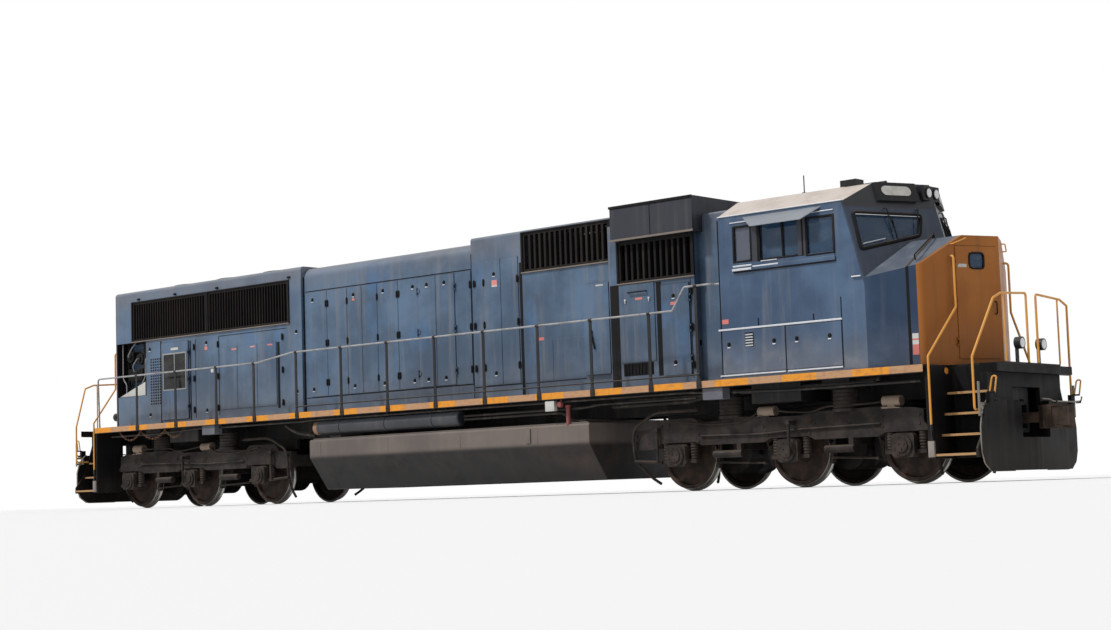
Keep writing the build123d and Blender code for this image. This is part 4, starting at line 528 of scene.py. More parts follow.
# X from the bogie's middle, height
FRAME_BOLTS = ((-2.90, 0.93), (-2.90, 0.78), (-2.40, 1.05), (-2.25, 1.05), (-1.66, 0.90), (-1.66, 0.78),
               (-0.42, 0.95), (-0.34, 0.82), (0.43, 0.82), (0.52, 0.97), (1.70, 0.86), (1.70, 1.00),
               (2.32, 1.00), (2.32, 0.88))
# bolts on the axle boxes: radius of their circle, their number, angle of the first, span in Y
BOLT_CIRCLES = ((0.132, 8, pi / 8, (1.18, 1.217)), (0.052, 3, 0.5, (1.22, 1.242)))
# X of the axle from the bogie's middle, side of the wheel that the shoe bears on
SHOES = ((-2.07, 1), (0.057, -1), (0.057, 1), (2.07, -1))
SHOE_GAP, SHOE_DEPTH, SHOE_Y, SHOE_HALF_ANGLE = 0.009, 0.055, (0.722, 0.806), 0.27
HANGER_TOP_Z = 0.93
# rear and front end of each pull rod, and the heights of these ends
PULL_RODS, PULL_ROD_Z = ((-1.47, -0.57), (0.68, 1.46)), (0.44, 0.40)


def add_arc_block(bm, axle_x, side, steps=6):
    """A brake shoe: a block curved round the tread, at one side of the wheel."""
    inner, outer = TREAD_R + SHOE_GAP, TREAD_R + SHOE_GAP + SHOE_DEPTH
    section = ((inner, SHOE_Y[0]), (outer, SHOE_Y[0]), (outer, SHOE_Y[1]), (inner, SHOE_Y[1]))
    rings = []
    for step in range(steps + 1):
        angle = SHOE_HALF_ANGLE * (2 * step / steps - 1) - 0.1
        rings.append([bm.verts.new((axle_x + side * cos(angle) * reach, y, AXLE_Z + sin(angle) * reach))
                      for reach, y in section])
    bridge(bm, rings)
    bm.faces.new(rings[0])
    bm.faces.new(reversed(rings[-1]))


def bogie_rigging():
    """All the small ironwork of one bogie, about the bogie's middle."""
    bm = bmesh.new()
    rods = [stub(x, z, skin(FRAME_FACE_Y, -0.01, 0.014), 0.02, 6) for x, z in FRAME_BOLTS]
    for axle_x in AXLE_OFFSETS:
        for radius, count, first, y in BOLT_CIRCLES:
            for number in range(count):
                turn = tau * number / count + first
                rods.append(stub(axle_x + radius * cos(turn), AXLE_Z + radius * sin(turn), y, 0.013, 6))
    for axle_x, side in SHOES:
        add_arc_block(bm, axle_x, side)
        shoe_x = axle_x + side * (TREAD_R + SHOE_GAP + SHOE_DEPTH - 0.01)
        hanger_x = shoe_x + side * 0.05
        rods.append(((shoe_x, 0.765, AXLE_Z - 0.05), (hanger_x, 0.84, HANGER_TOP_Z), 0.02, 8))
        rods.append(stub(hanger_x, HANGER_TOP_Z, (0.83, 0.975), 0.028, 10))
    for xs in PULL_RODS:
        rear, front = zip(xs, PULL_ROD_Z)
        rods.append(((rear[0], 0.88, rear[1]), (front[0], 0.88, front[1]), 0.017, 8))
        rods += [stub(x, z, (0.79, 0.90), 0.024, 8) for x, z in (rear, front)]
    for row in rods:
        add_rod(bm, *row)
    both_sides(bm)
    return bm


def spread(low, high, count):
    """Evenly spaced values, both ends with them."""
    return [low + (high - low) * number / (count - 1) for number in range(count)]


# The runs of pipe on one side, about the bogie's middle: brake pipe, sand pipes, conduit
BOGIE_PIPES = [
    [(-0.20, 1.10, 1.19), (0.07, 1.135, 1.15), (0.49, 1.135, 1.12), (0.73, 1.135, 1.20), (1.50, 1.135, 1.20),
     (1.70, 1.06, 1.22)],
    [(-2.05, 1.135, 1.10), (-1.4, 1.135, 1.02), (-0.75, 1.135, 1.04), (-0.50, 1.10, 1.18)],
    [(-1.60, 1.135, 0.86), (-0.45, 1.135, 0.84), (0.30, 1.135, 0.88), (1.68, 1.135, 0.90)],
]
SAND_PIPES = [
    [(-1.62, 1.15, 1.27), (-2.45, 1.20, 1.27), (-2.93, 1.18, 1.02), (-2.93, 1.15, 0.52), (-2.78, 0.92, 0.24),
     (-2.70, 0.77, 0.13)],
    [(2.46, 0.99, 1.06), (2.50, 0.99, 0.92), (2.50, 0.94, 0.45), (2.46, 0.77, 0.13)],
    [(-2.93, 1.15, 0.50), (-2.40, 1.12, 0.47)],
]
# Rear and front edge of the rubber bellows through which each motor is cooled
BELLOWS_XS = ((-1.88, -1.20), (0.22, 0.90), (1.22, 1.88))
BELLOWS_Y, BELLOWS_Z, BELLOWS_FOLDS = 0.34, (0.86, 1.232), 6
TRAY_X, TRAY_Y, TRAY_Z = (-2.62, 1.90), (0.565, 0.64), (1.06, 1.231)
CAP_RADIUS, CAP_Y = 0.082, (1.205, 1.228)
f = Finish("bellows_rubber")
bellows_rubber = f.done(Base_Color=f.noise(6, 5).mix(tint(18, 17, 17), tint(42, 38, 35)), Roughness=0.7,
                        Specular_IOR_Level=0.25)
edges = spread(*BELLOWS_Z, BELLOWS_FOLDS + 1)
folds = [slab(xs, about(0, BELLOWS_Y), (z0, z1), (z1 - z0) * 0.42)
         for xs in BELLOWS_XS for z0, z1 in zip(edges, edges[1:])]
trays = [slab(TRAY_X, [side * y for y in TRAY_Y], TRAY_Z, 0.004) for side in (-1, 1)]
caps = [stub(axle_x, AXLE_Z, CAP_Y, CAP_RADIUS, 28, CAP_RADIUS - 0.008) for axle_x in AXLE_OFFSETS]
for end, facing in (("front", 1), ("rear", -1)):
    bogie = f"bogie_{end}"
    place = Matrix.Translation((facing * BOGIE_X, 0, 0)) @ Matrix.Rotation(0 if facing > 0 else pi, 4, "Z")
    build(f"motor_bellows_{end}", bellows_rubber, folds + trays, smooth=50, copies=None,
          place=place, body=bogie)
    build(f"journal_caps_{end}", cap_iron, rods=caps, smooth=40, place=place, body=bogie)
    bm = bogie_rigging()
    bm.transform(place)
    finish_piece(bm, f"bogie_rigging_{end}", box_iron, 40, bogie)
    for name, runs, radius in (("pipes", BOGIE_PIPES, 0.014), ("sand_pipes", SAND_PIPES, 0.024)):
        placed = [[tuple(place @ Vector(point)) for point in run] for run in mirrored(runs)]
        pipework(f"bogie_{name}_{end}", placed, radius, box_iron, turn=0.14, body=bogie)

# Couplers: rough castings, polished only where the knuckles rub.
coupler_iron = cast("coupler_iron", tint(46, 37, 32), tint(78, 62, 51), oily=0.1)
dress(coupler_iron, "cast_frame", "coupler_front", "coupler_rear", "knuckle_front", "knuckle_rear")

# Pilots and steps: thick black plate. The treads' nosings are painted yellow and worn by boots.
pilot_paint = painted("pilot_paint", tint(12, 12, 14), tint(24, 23, 24), rough=0.55, low=0.16,
                      low_z=(1.0, 0.1), streaks=0.08, top=0.4, shine=0.15)
dress(pilot_paint, "black_paint", "pilots", "steps")
grip_paint = painted("grip_paint", tint(206, 142, 56), tint(214, 166, 88), streaks=0.25, top=0.2, chips=0.9)
nosing_paint = painted("nosing_paint", tint(172, 132, 84), tint(146, 112, 84), rough=0.6, top=0.3, chips=0.8)
worn_iron = painted("worn_iron", tint(118, 112, 106), tint(150, 142, 132), rough=0.45, streaks=0.3)
# height and outer edge of each tread
TREADS = ((0.41, 1.51), (0.69, 1.29), (0.99, 1.18), (1.29, 1.08))
TREAD_X = (9.951, 10.599)


def four_corners(bm):
    """Repeat a bmesh made for the front left corner at all four corners."""
    both_sides(bm)
    geom = bm.verts[:] + bm.edges[:] + bm.faces[:]
    copied = bmesh.ops.duplicate(bm, geom=geom)["geom"]
    copied_verts = [item for item in copied if isinstance(item, bmesh.types.BMVert)]
    bmesh.ops.rotate(bm, cent=(0, 0, 0), matrix=Matrix.Rotation(pi, 3, "Z"), verts=copied_verts)


nosings = []
for level, outer in TREADS:
    nosings.append(slab(TREAD_X, skin(outer, -0.045, 0.003), (level - 0.001, level + 0.004), 0.001))
    nosings.append(slab(TREAD_X, skin(outer, -0.001, 0.004), (level - 0.03, level + 0.003), 0.001))
build("tread_nosings", nosing_paint, nosings, copies=four_corners)

# Studs of the treads, brackets at the feet of the grips, lever posts and the worn rim of the plough.
STUD_COLUMNS, STUD_ROWS, STUD_MARGIN = 14, 4, 0.03


def turned_round(runs):
    """The same runs at both ends of the locomotive."""
    return runs + [[(-x, -y, z) for x, y, z in run] for run in runs]


studs = [((x, y, level - 0.001), (x, y, level + 0.005), 0.011, 5, 0.007)
         for level, outer in TREADS
         for y in spread(outer - 0.07, outer - 0.205, STUD_ROWS)
         for x in spread(TREAD_X[0] + STUD_MARGIN, TREAD_X[1] - STUD_MARGIN, STUD_COLUMNS)]
grip_foot = slab((9.862, 9.962), (1.50, 1.545), (0.37, 0.60), 0.008)
lever_post = ((10.655, 1.455, 0.92), (10.655, 1.455, 1.40), 0.018, 14)
post_arms = [slab((10.64, 10.67), (1.30, 1.46), z, 0.004) for z in ((1.07, 1.11), (0.95, 0.99))]
post_plate = slab((10.60, 10.66), (1.30, 1.34), (0.96, 1.10), 0.004)
build("step_ironwork", worn_iron, [grip_foot, *post_arms, post_plate], studs + [lever_post],
      smooth=40, copies=four_corners)
# Y and height of the points along one half of the rim
PLOUGH_X, PLOUGH_RIM = 10.652, ((1.20, 1.15), (1.232, 1.15), (1.372, 1.0), (1.442, 0.78), (1.442, 0.42),
                                (1.372, 0.26), (1.20, 0.152), (0.5, 0.152))
rim = [(PLOUGH_X, y, z) for y, z in PLOUGH_RIM]
pipework("plough_rims", turned_round(mirrored([rim])), 0.011, worn_iron, turn=0.05)

# Cut levers: bent bars across each pilot that lift the coupler's lock, with a looped yellow handle.
CUT_HANDLE = [(10.74, 1.30, 1.24), (10.79, 1.30, 1.47), (10.86, 1.30, 1.47), (10.82, 1.30, 1.24)]
CUT_ROD = [(10.84, y, z) for y, z in ((1.34, 1.22), (1.30, 1.14), (0.40, 1.14), (0.30, 1.17), (0.06, 1.17))]
pipework("cut_handles", turned_round(mirrored([CUT_HANDLE])), 0.012, grip_paint, turn=0.03)
pipework("cut_rods", turned_round([CUT_ROD]), 0.011, worn_iron, turn=0.05)
rod_eyes = [slab((10.785, 10.856), about(y, 0.02), (1.12, 1.16), 0.004) for y in (1.26, 0.50)]
handle_arm = slab((10.70, 10.83), (1.285, 1.315), (1.235, 1.26), 0.004)
handle_foot = slab((10.68, 10.74), (1.20, 1.31), (1.10, 1.25), 0.004)
build("cut_lever_brackets", pilot_paint, [*rod_eyes, handle_arm, handle_foot], smooth=40,
      copies=four_corners)

# Marker lamps on the stair walls: round amber lenses in black rims.
MARKER_X, MARKER_Y, MARKER_Z = 9.945, 1.09, 1.60
f = Finish("amber_lens")
amber_lens = f.done(Base_Color=tint(214, 138, 40), Roughness=0.25, Coat_Weight=0.6)
# name, depth, radius at the back and in front, finish
for name, depth, radius, tip, finish in (("lenses", 0.021, 0.052, 0.044, amber_lens),
                                         ("rims", 0.013, 0.064, 0.064, pilot_paint)):
    lamp = ((MARKER_X, MARKER_Y, MARKER_Z), (MARKER_X + depth, MARKER_Y, MARKER_Z), radius, 28, tip)
    build(f"marker_{name}", finish, rods=[lamp], smooth=40, copies=four_corners)

# Hoods: folded steel sheet over the engine room, blue enamel faded by sun and washed with dust,
# with the rear wall of the radiator hood in yellow.
BLUE, BLUE_FADED, GREY_DUST = tint(57, 75, 96), tint(90, 114, 140), tint(114, 113, 115)
YELLOW, YELLOW_FADED, YELLOW_DIRT = tint(146, 86, 26), tint(170, 108, 46), tint(104, 72, 42)
REAR_WALL_X = -9.852
blue_paint = painted("blue_paint", BLUE, BLUE_FADED, rough=0.36, dust=GREY_DUST, streaks=0.55, low=0.55,
                     top=0.7, chalk=0.75, vivid=0.45)
dress(blue_paint, "blue_paint", "engine_hood", "silencer_hood", "brake_hood", "cooling_hood", "link_hood",
      *[f"engine_door_{side}_{number}" for side in ("right", "left") for number in (1, 2)],
      *[f"{door}_door_{side}" for side in ("right", "left") for door in ("room", "cabinet")], "cab_door")
f = Finish("radiator_paint")
wear = {"dust": GREY_DUST, "low": 0.55, "streaks": 0.55, "top": 0.7, "chalk": 0.9}
blue, _, patch = weather(f, BLUE, BLUE_FADED, vivid=0.55, **wear)
yellow, _, _ = weather(f, YELLOW, YELLOW_FADED, **wear)
on_rear = f.x.ramp(REAR_WALL_X + 0.004, REAR_WALL_X)
radiator_paint = coat(f, on_rear.mix(blue, yellow), patch * 0.18 + 0.38)
dress(radiator_paint, "blue_paint", "radiator_hood")

# Seams and dark gaps between the hoods' sections and around their doors: black rubber and shadow.
CAB_Y, PANEL_PROUD, DOOR_PROUD = 1.5, 0.014, 0.025
# front end and Y of each length of side wall
SIDE_WALLS = ((-3.96, 0.990), (3.74, 0.930), (5.50, 1.050), (6.31, 0.900), (8.92, CAB_Y))
# from X, to X, from Z, to Z of each strip
SEAMS = ((-9.83, -9.80, 1.72, 3.46), (-8.345, -8.305, 1.73, 3.42), (-7.375, -7.345, 1.75, 3.36),
         (-7.205, -7.195, 1.78, 3.38), (-6.462, -6.450, 1.80, 3.38), (-6.45, -4.40, 3.375, 3.385),
         (-4.680, -4.615, 1.85, 3.13), (-3.958, -3.925, 1.71, 4.32), (-3.90, 0.49, 4.025, 4.04),
         (-3.90, 0.49, 1.985, 2.0), (0.495, 0.507, 1.72, 4.30), (1.645, 1.705, 1.72, 4.03),
         (0.52, 1.64, 1.925, 1.94), (1.72, 3.10, 1.925, 1.935), (3.76, 3.94, 1.73, 3.41),
         (4.725, 4.822, 1.87, 3.39), (4.00, 4.62, 1.90, 2.105), (5.415, 5.425, 1.80, 3.38))
# Black rubber and paint; the same finish also paints shade and shadow: seams, latch cups and the strip under
# the cab's window ledge.
black_and_shade = painted("black_and_shade", tint(16, 15, 17), tint(26, 25, 26), rough=0.6, chips=0.0, streaks=0.06,
                    top=0.4, shine=0.15)


def wall_y(x):
    """How far out the side walls of the hoods and the cab stand at x."""
    return next(y for end, y in SIDE_WALLS if x < end)


def on_wall(spans, proud, bevel=0.0, sunk=0.01):
    """Block rows for strips on the side walls; a span is from X, to X, from Z, to Z."""
    return [slab((x0, x1), skin(wall_y((x0 + x1) / 2), -sunk, proud), (z0, z1), bevel)
            for x0, x1, z0, z1 in spans]


build("hood_seams", black_and_shade, on_wall(SEAMS, 0.0045))

# Hinges of the hood doors: pairs of black knuckles at three heights.
HINGE_LEVELS = (2.26, 3.01, 3.76)
# X, heights
HINGES = [(x, HINGE_LEVELS) for x in (-3.315, -3.265, -2.73, -1.91, -1.385, -1.335, 0.47, 0.57, 0.80, 1.60)]
HINGES += [(x, (1.95, 2.58, 3.22)) for x in (-7.235, -6.475, -4.52)] + [(5.44, (2.0, 2.6, 3.2))]
hinges = [(x, wall_y(x) + PANEL_PROUD, z) for x, levels in HINGES for z in levels]
build("hood_hinges", black_and_shade,
      [slab(about(x, 0.028), about(y, 0.004), about(z, 0.05), 0.001) for x, y, z in hinges],
      [((x, y + 0.006, z - 0.065), (x, y + 0.006, z + 0.065), 0.012, 10) for x, y, z in hinges], smooth=40)

# Latches: sprung paddles in round cups. The cups' black is painted shade of their recesses, and the bright
# strip under each cup is a painted highlight.
LATCH_RADIUS, GLINT_HALF, HULL = 0.036, 0.030, "locomotive"
# Bright steel; the same finish also paints highlights and reflections under the latches, along the cab's
# window sills and across the windscreens.
f = Finish("bright_steel_and_glints")
bright_steel_and_glints = f.done(Base_Color=f.noise(20, 4).mix(tint(176, 178, 182), tint(214, 216, 220)), Metallic=0.35,
                      Roughness=0.3)
# X of each latch, heights, how proud the surface stands, the body
LATCHES = (
    ((-3.69, -2.55, -1.75, -0.97), (3.86, 2.15), PANEL_PROUD, HULL),
    ((-0.16,), (3.86, 2.15), DOOR_PROUD, "engine_door_{}_2"),
    ((-0.60,), (3.86, 2.15), DOOR_PROUD, "engine_door_{}_1"),
    ((1.05,), (3.89, 2.15), PANEL_PROUD, HULL),
    ((-6.85, -8.70), (3.28, 1.92), 0.0, HULL),
    ((-4.12,), (3.29, 2.14), 0.0, HULL),
    ((5.086,), (3.13, 2.06), DOOR_PROUD, "cabinet_door_{}"),
)


def on_sides(rows):
    """The side, right (-1) and then left (1), the body there, and the rest of each row."""
    for side, label in ((-1, "right"), (1, "left")):
        for row in rows:
            yield side, row[-1].format(label), row[:-1]


cups, glint_lips = defaultdict(bmesh.new), defaultdict(bmesh.new)
for side, body, (xs, levels, proud) in on_sides(LATCHES):
    for x, z in [(x, z) for x in xs for z in levels]:
        face = wall_y(x) + proud
        paddle = slab(about(x, 0.011), skin(face, 0.002, 0.014, side), (z - 0.02, z + 0.03), 0.003)
        # Painted highlight: a bright strip under the cup.
        glint_lip = slab(about(x, GLINT_HALF), skin(face, -0.002, 0.010, side), (z - 0.052, z - 0.034), 0.004)
        # Painted shade: a black disc for the cup's recess.
        add_rod(cups[body], *stub(x, z, skin(face, -0.006, 0.003, side), LATCH_RADIUS, 20))
        add_block(cups[body], *paddle)
        add_block(glint_lips[body], *glint_lip)
for body in cups:
    finish_piece(cups[body], f"latch_cups_{body}", black_and_shade, 40, body)
    finish_piece(glint_lips[body], f"latch_glints_{body}", bright_steel_and_glints, 40, body)

# Blank notice plates, pale red or white, screwed to the doors.
notice_red = painted("notice_red", tint(196, 108, 100), tint(206, 150, 142), top=0.0, chips=0.0, streaks=0.2)
# middle X, middle Z, length, height, how proud the surface stands, body
RED_PLATES = ((-6.86, 3.17, 0.09, 0.07, 0.0, HULL), (-5.97, 3.085, 0.15, 0.03, PANEL_PROUD, HULL),
              (-5.40, 3.095, 0.15, 0.03, PANEL_PROUD, HULL), (-4.88, 3.095, 0.15, 0.03, PANEL_PROUD, HULL),
              (1.06, 3.74, 0.13, 0.09, PANEL_PROUD, HULL), (2.11, 2.67, 0.12, 0.05, 0.0, HULL),
              (4.365, 3.15, 0.15, 0.035, PANEL_PROUD, HULL), (-2.55, 3.77, 0.07, 0.04, PANEL_PROUD, HULL),
              (5.083, 3.01, 0.12, 0.05, DOOR_PROUD, "cabinet_door_{}"))
WHITE_PLATES = ((-6.675, 2.705, 0.08, 0.07, 0.0, HULL), (1.06, 3.68, 0.13, 0.03, PANEL_PROUD, HULL),
                (-7.85, 3.23, 0.24, 0.05, DOOR_PROUD, "room_door_{}"), (3.48, 3.46, 0.16, 0.025, 0.06, HULL))
for kind, plates, finish in (("red", RED_PLATES, notice_red), ("white", WHITE_PLATES, white_paint)):
    made = defaultdict(bmesh.new)
    for side, body, (x, z, length, height, proud) in on_sides(plates):
        y = skin(wall_y(x) + proud, -0.001, 0.0025, side)
        add_block(made[body], *slab(about(x, length / 2), y, about(z, height / 2), 0.0008))
    for body in made:
        finish_piece(made[body], f"{kind}_plates_{body}", finish, body=body)

# Radiator hood's small fittings: lifting lugs, the pressed air slots beside the equipment bay, and the
# frames of angle iron round the grilles, tan with dust along their lower edges.
LUG_XS, SLOT_Y = (-9.05, -7.83, -6.48, -4.30), 0.985
SLOTS = [(x, z) for x in spread(-8.66, -8.36, 5) for z in spread(3.06, 2.14, 17)]
pale_frame_and_glints = painted("pale_frame_and_glints", tint(128, 132, 134), tint(152, 152, 148), rough=0.45)
build("radiator_hood_fittings", black_and_shade,
      [slab(about(x, 0.035), (0.985, 1.02), (4.335, 4.375), 0.006) for x in LUG_XS],
      [stub(x, z, (SLOT_Y, SLOT_Y + 0.01), 0.021, 10) for x, z in SLOTS], smooth=40)
# Painted highlight: a pale strip on the lower edge of each air slot.
build("slot_glints", pale_frame_and_glints,
      [slab(about(x, 0.016), (SLOT_Y, SLOT_Y + 0.012), (z - 0.029, z - 0.019), 0.002) for x, z in SLOTS])

# from X, to X, bottom, top of each grille
GRILLES = ((-9.265, -6.85, 3.48, 4.29), (-6.77, -4.34, 3.48, 4.29), (1.74, 3.69, 3.855, 4.53),
           (3.96, 5.48, 3.43, 4.10))
FRAME_BAR = 0.035
bars, sills = [], []
for x0, x1, z0, z1 in GRILLES:
    bars += [(x0 - FRAME_BAR, x0, z0, z1), (x1, x1 + FRAME_BAR, z0, z1)]
    bars.append((x0 - FRAME_BAR, x1 + FRAME_BAR, z1, z1 + FRAME_BAR * 0.6))
    sills.append((x0 - FRAME_BAR, x1 + FRAME_BAR, z0 - 0.022, z0 - 0.002))
build("grille_frames", black_and_shade, on_wall(bars, 0.022, 0.003))
dusty_iron = painted("dusty_iron", tint(112, 102, 94), tint(134, 122, 110), rough=0.6, chips=0.6, shine=0.3)
box_sill = slab((3.885, 5.605), (1.165, 1.182), (4.118, 4.152), 0.003)
build("grille_sills", dusty_iron, on_wall(sills, 0.030, 0.003) + [box_sill])

# Equipment bay behind the rear walkway: polished pipes, two filter drums and a white triangular plate.
BAY_X, BAY_Y, BAY_Z, BAY_SKIN = (-9.82, -8.83), (0.64, 0.985), (2.33, 3.46), 0.005
DRUM_FACE_Y, DRUMS = 0.88, ((-9.52, 3.18), (-9.20, 3.12))
# X and height of the plate's corners
BAY_PLATE = ((-9.78, 2.34), (-8.90, 2.34), (-8.90, 2.62))
# X, Y, radius and number of sides of the upright pipes
UPRIGHTS = ((-9.05, 0.82, 0.05, 20), (-9.72, 0.76, 0.035, 16))
back = slab(BAY_X, (BAY_Y[0], BAY_Y[0] + BAY_SKIN), BAY_Z)
ends = [slab(x, BAY_Y, BAY_Z) for x in ((BAY_X[0], BAY_X[0] + BAY_SKIN), (BAY_X[1] - BAY_SKIN, BAY_X[1]))]
levels = [slab(BAY_X, BAY_Y, z) for z in ((BAY_Z[0], BAY_Z[0] + BAY_SKIN), (BAY_Z[1] - BAY_SKIN, BAY_Z[1]))]
case = slab((-9.66, -9.16), (BAY_Y[0], 0.84), (2.66, 2.92), 0.02)
drums = [stub(x, z, (BAY_Y[0], DRUM_FACE_Y), 0.12, 28) for x, z in DRUMS]
hubs = [stub(x, z, (DRUM_FACE_Y, DRUM_FACE_Y + 0.02), 0.05, 20) for x, z in DRUMS]
uprights = [((x, y, BAY_Z[0]), (x, y, BAY_Z[1]), radius, sides) for x, y, radius, sides in UPRIGHTS]
build("bay_filters", black_and_shade, [back, *ends, *levels, case], [*drums, *hubs, *uprights],
      smooth=40)
steel_pipe = painted("steel_pipe", tint(120, 122, 126), tint(156, 158, 160), rough=0.3, top=0.3, chips=0.2)
pipework("bay_pipes", mirrored([
    [(-9.62, 0.90, BAY_Z[0]), (-9.62, 0.90, 2.60), (-9.74, 0.90, 2.72), (-9.74, 0.90, BAY_Z[1])],
    [(-9.52, 0.90, 3.18), (-9.52, 0.94, 3.18), (-9.40, 0.94, 3.34), (-9.30, 0.90, BAY_Z[1])],
    [(-9.20, 0.90, 3.12), (-9.20, 0.94, 3.12), (-9.36, 0.94, 2.98), (-9.36, 0.90, 2.86),
     (-9.36, 0.84, 2.86)],
    [(-9.05, 0.90, 2.60), (-9.05, 0.93, 2.60), (-8.93, 0.93, 2.74), (-8.93, 0.93, 3.10),
     (-8.93, 0.80, 3.20)],
]), 0.013, steel_pipe)


def add_prism(bm, front, back):
    """A plate between two outlines that have the same corners."""
    outlines = [[bm.verts.new(point) for point in outline] for outline in (front, back)]
    bridge(bm, outlines)
    bm.faces.new(outlines[0])
    bm.faces.new(reversed(outlines[1]))
    bmesh.ops.recalc_face_normals(bm, faces=bm.faces[:])


bm = bmesh.new()
add_prism(bm, [(x, 0.965, z) for x, z in BAY_PLATE], [(x, 0.955, z) for x, z in BAY_PLATE])
both_sides(bm)
finish_piece(bm, "bay_plates", white_paint)

# Room doors' windows: pale frames with a middle bar and dark panes; they ride on the doors.
f = Finish("dark_pane")
film = f.noise(3, 6, (1, 1, 2)).ramp(0.35, 0.8)
dark_pane = f.done(Base_Color=film.mix(tint(16, 18, 22), tint(54, 50, 46)), Roughness=film * 0.15 + 0.06,
                   Specular_IOR_Level=0.3)
WINDOW_X, WINDOW_Z, WINDOW_RIM, DOOR_FACE_Y = (-8.205, -7.495), (2.41, 3.12), 0.03, 1.015
(x0, x1), (z0, z1) = WINDOW_X, WINDOW_Z
WINDOW_BARS = (
    ((x0 - WINDOW_RIM, x1 + WINDOW_RIM), (z1, z1 + WINDOW_RIM)),
    ((x0 - WINDOW_RIM, x1 + WINDOW_RIM), (z0 - WINDOW_RIM, z0)),
    ((x0 - WINDOW_RIM, x0), WINDOW_Z),
    ((x1, x1 + WINDOW_RIM), WINDOW_Z),
    (about((x0 + x1) / 2, 0.012), WINDOW_Z),
)
for side, label in ((-1, "right"), (1, "left")):
    door = f"room_door_{label}"
    bars = [slab(x, skin(DOOR_FACE_Y, -0.004, 0.008, side), z, 0.002) for x, z in WINDOW_BARS]
    pane = slab(WINDOW_X, skin(DOOR_FACE_Y, -0.005, 0.002, side), WINDOW_Z)
    build(f"room_window_frame_{label}", pale_frame_and_glints, bars, copies=None, body=door)
    build(f"room_window_pane_{label}", dark_pane, [pane], copies=None, body=door)

# Small fittings of the brake and cooling hoods: shallow covers, a pull bar, lever handles and slats.
COVER_XS, KNOB_XS = ((1.995, 2.365), (2.375, 3.095)), (4.09, 4.585)
PULL_X, PULL_Y, PULL_Z, PULL_RADIUS = (4.16, 4.545), 1.105, 3.262, 0.011
build("brake_hood_covers", blue_paint,
      [slab(x, (0.925, 0.936), (1.945, 2.645), 0.003) for x in COVER_XS])
slats = [slab((x, x + 0.012), (1.052, 1.066), (1.915, 2.09), 0.002) for x in spread(4.03, 4.59, 9)]
pull_bar = ((PULL_X[0], PULL_Y, PULL_Z), (PULL_X[1], PULL_Y, PULL_Z), PULL_RADIUS, 12)
pull_feet = [stub(x, PULL_Z, (1.06, PULL_Y), PULL_RADIUS, 10)
             for x in (PULL_X[0] + 0.01, PULL_X[1] - 0.01)]
handle = ((3.28, 1.012, 2.70), (3.35, 1.012, 2.40), 0.013, 12)
hub = stub(3.28, 2.70, (0.985, 1.018), 0.024, 14)
lever = ((5.47, 0.955, 1.75), (5.47, 0.955, 2.42), 0.014, 12)
lever_box = slab((5.44, 5.50), (0.90, 0.975), (2.30, 2.40), 0.006)
build("hood_handles", black_and_shade, [lever_box, *slats], [pull_bar, *pull_feet, handle, hub, lever],
      smooth=40)
build("hood_knobs", bright_steel_and_glints,
      [slab(about(x, 0.008), (1.07, 1.083), (3.09, 3.14), 0.003) for x in KNOB_XS],
      [stub(x, 3.145, (1.06, 1.085), 0.018, 14) for x in KNOB_XS], smooth=40)

# Grilles and what shows behind them: black bars, and cooling cores furred with dust.
grille_paint = painted("grille_paint", tint(24, 22, 22), tint(38, 34, 33), rough=0.6, streaks=0.12, top=0.2,
                       shine=0.12)
dress(grille_paint, "black_paint", "side_grilles")
f = Finish("cooler_fins")
fins = f.x.wave(900).ramp(-0.4, 0.6)
cooler_fins = f.done(Base_Color=fins.mix(tint(6, 6, 6), tint(14, 13, 13)), Roughness=0.9,
                     Specular_IOR_Level=0.05)
dress(cooler_fins, "black_paint", "cooler_cores")
dress(motor_iron, "engine_paint", "engine")

# Fans: black rings and guards, with cast rotors.
fan_paint = painted("fan_paint", tint(32, 31, 33), tint(58, 55, 54), rough=0.5, top=0.4, shine=0.3)
dress(fan_paint, "black_paint", "fan_rings", "radiator_fan_1", "radiator_fan_2", "radiator_fan_3",
      "brake_fan_1", "brake_fan_2")

# Tall cooling box on the roof: bare dusty grey-black sheet.
box_paint = painted("box_paint", tint(44, 46, 54), tint(68, 69, 76), rough=0.5, top=0.3, streaks=0.12,
                    shine=0.3)
dress(box_paint, "black_paint", "cooling_box")
top_lip = slab((3.885, 5.605), (1.165, 1.186), (4.662, 4.704), 0.004)
middle_strap = slab((4.727, 4.741), (1.165, 1.1745), (4.15, 4.665), 0.002)
build("box_lips", black_and_shade, [top_lip, middle_strap])

# Cab: steel shell in the same blue, its front in a darker navy and black above the windscreens, and its
# roof in pale anti-slip paint.
FRONT_SLOPE, FRONT_FOOT, FRONT_LEAN, BELT_Z = 0.45, 8.92, 0.265, 3.03
EAVE_Z, BROW_Z = 4.2, 4.08
f = Finish("cab_paint")
blue, _, patch = weather(f, tint(40, 63, 90), tint(72, 97, 125), dust=GREY_DUST, low=0.9, top=0.0,
                         low_z=(2.5, 1.65), vivid=0.25)
navy, _, _ = weather(f, tint(27, 40, 59), tint(42, 58, 80), dust=GREY_DUST, top=0.2, streaks=0.15)
navy = f.z.ramp(BROW_Z, BROW_Z + 0.06).mix(navy, tint(24, 26, 31))
roof = (patch * 0.5).mix(tint(186, 174, 164), tint(158, 146, 138))
roof = (f.noise(1.4, 6, (1, 2, 1)).ramp(0.5, 0.75) * 0.4).mix(roof, tint(112, 104, 100))
ahead = f.x + f.y.size() * FRONT_SLOPE + (f.z - BELT_Z) * FRONT_LEAN
shell = ahead.above(FRONT_FOOT + CAB_Y * FRONT_SLOPE - 0.03).mix(blue, navy)
shell = (f.z.above(EAVE_Z + 0.002) * f.facing[2].above(0.35)).mix(shell, roof)
cab_paint = coat(f, shell, patch * 0.18 + 0.36)
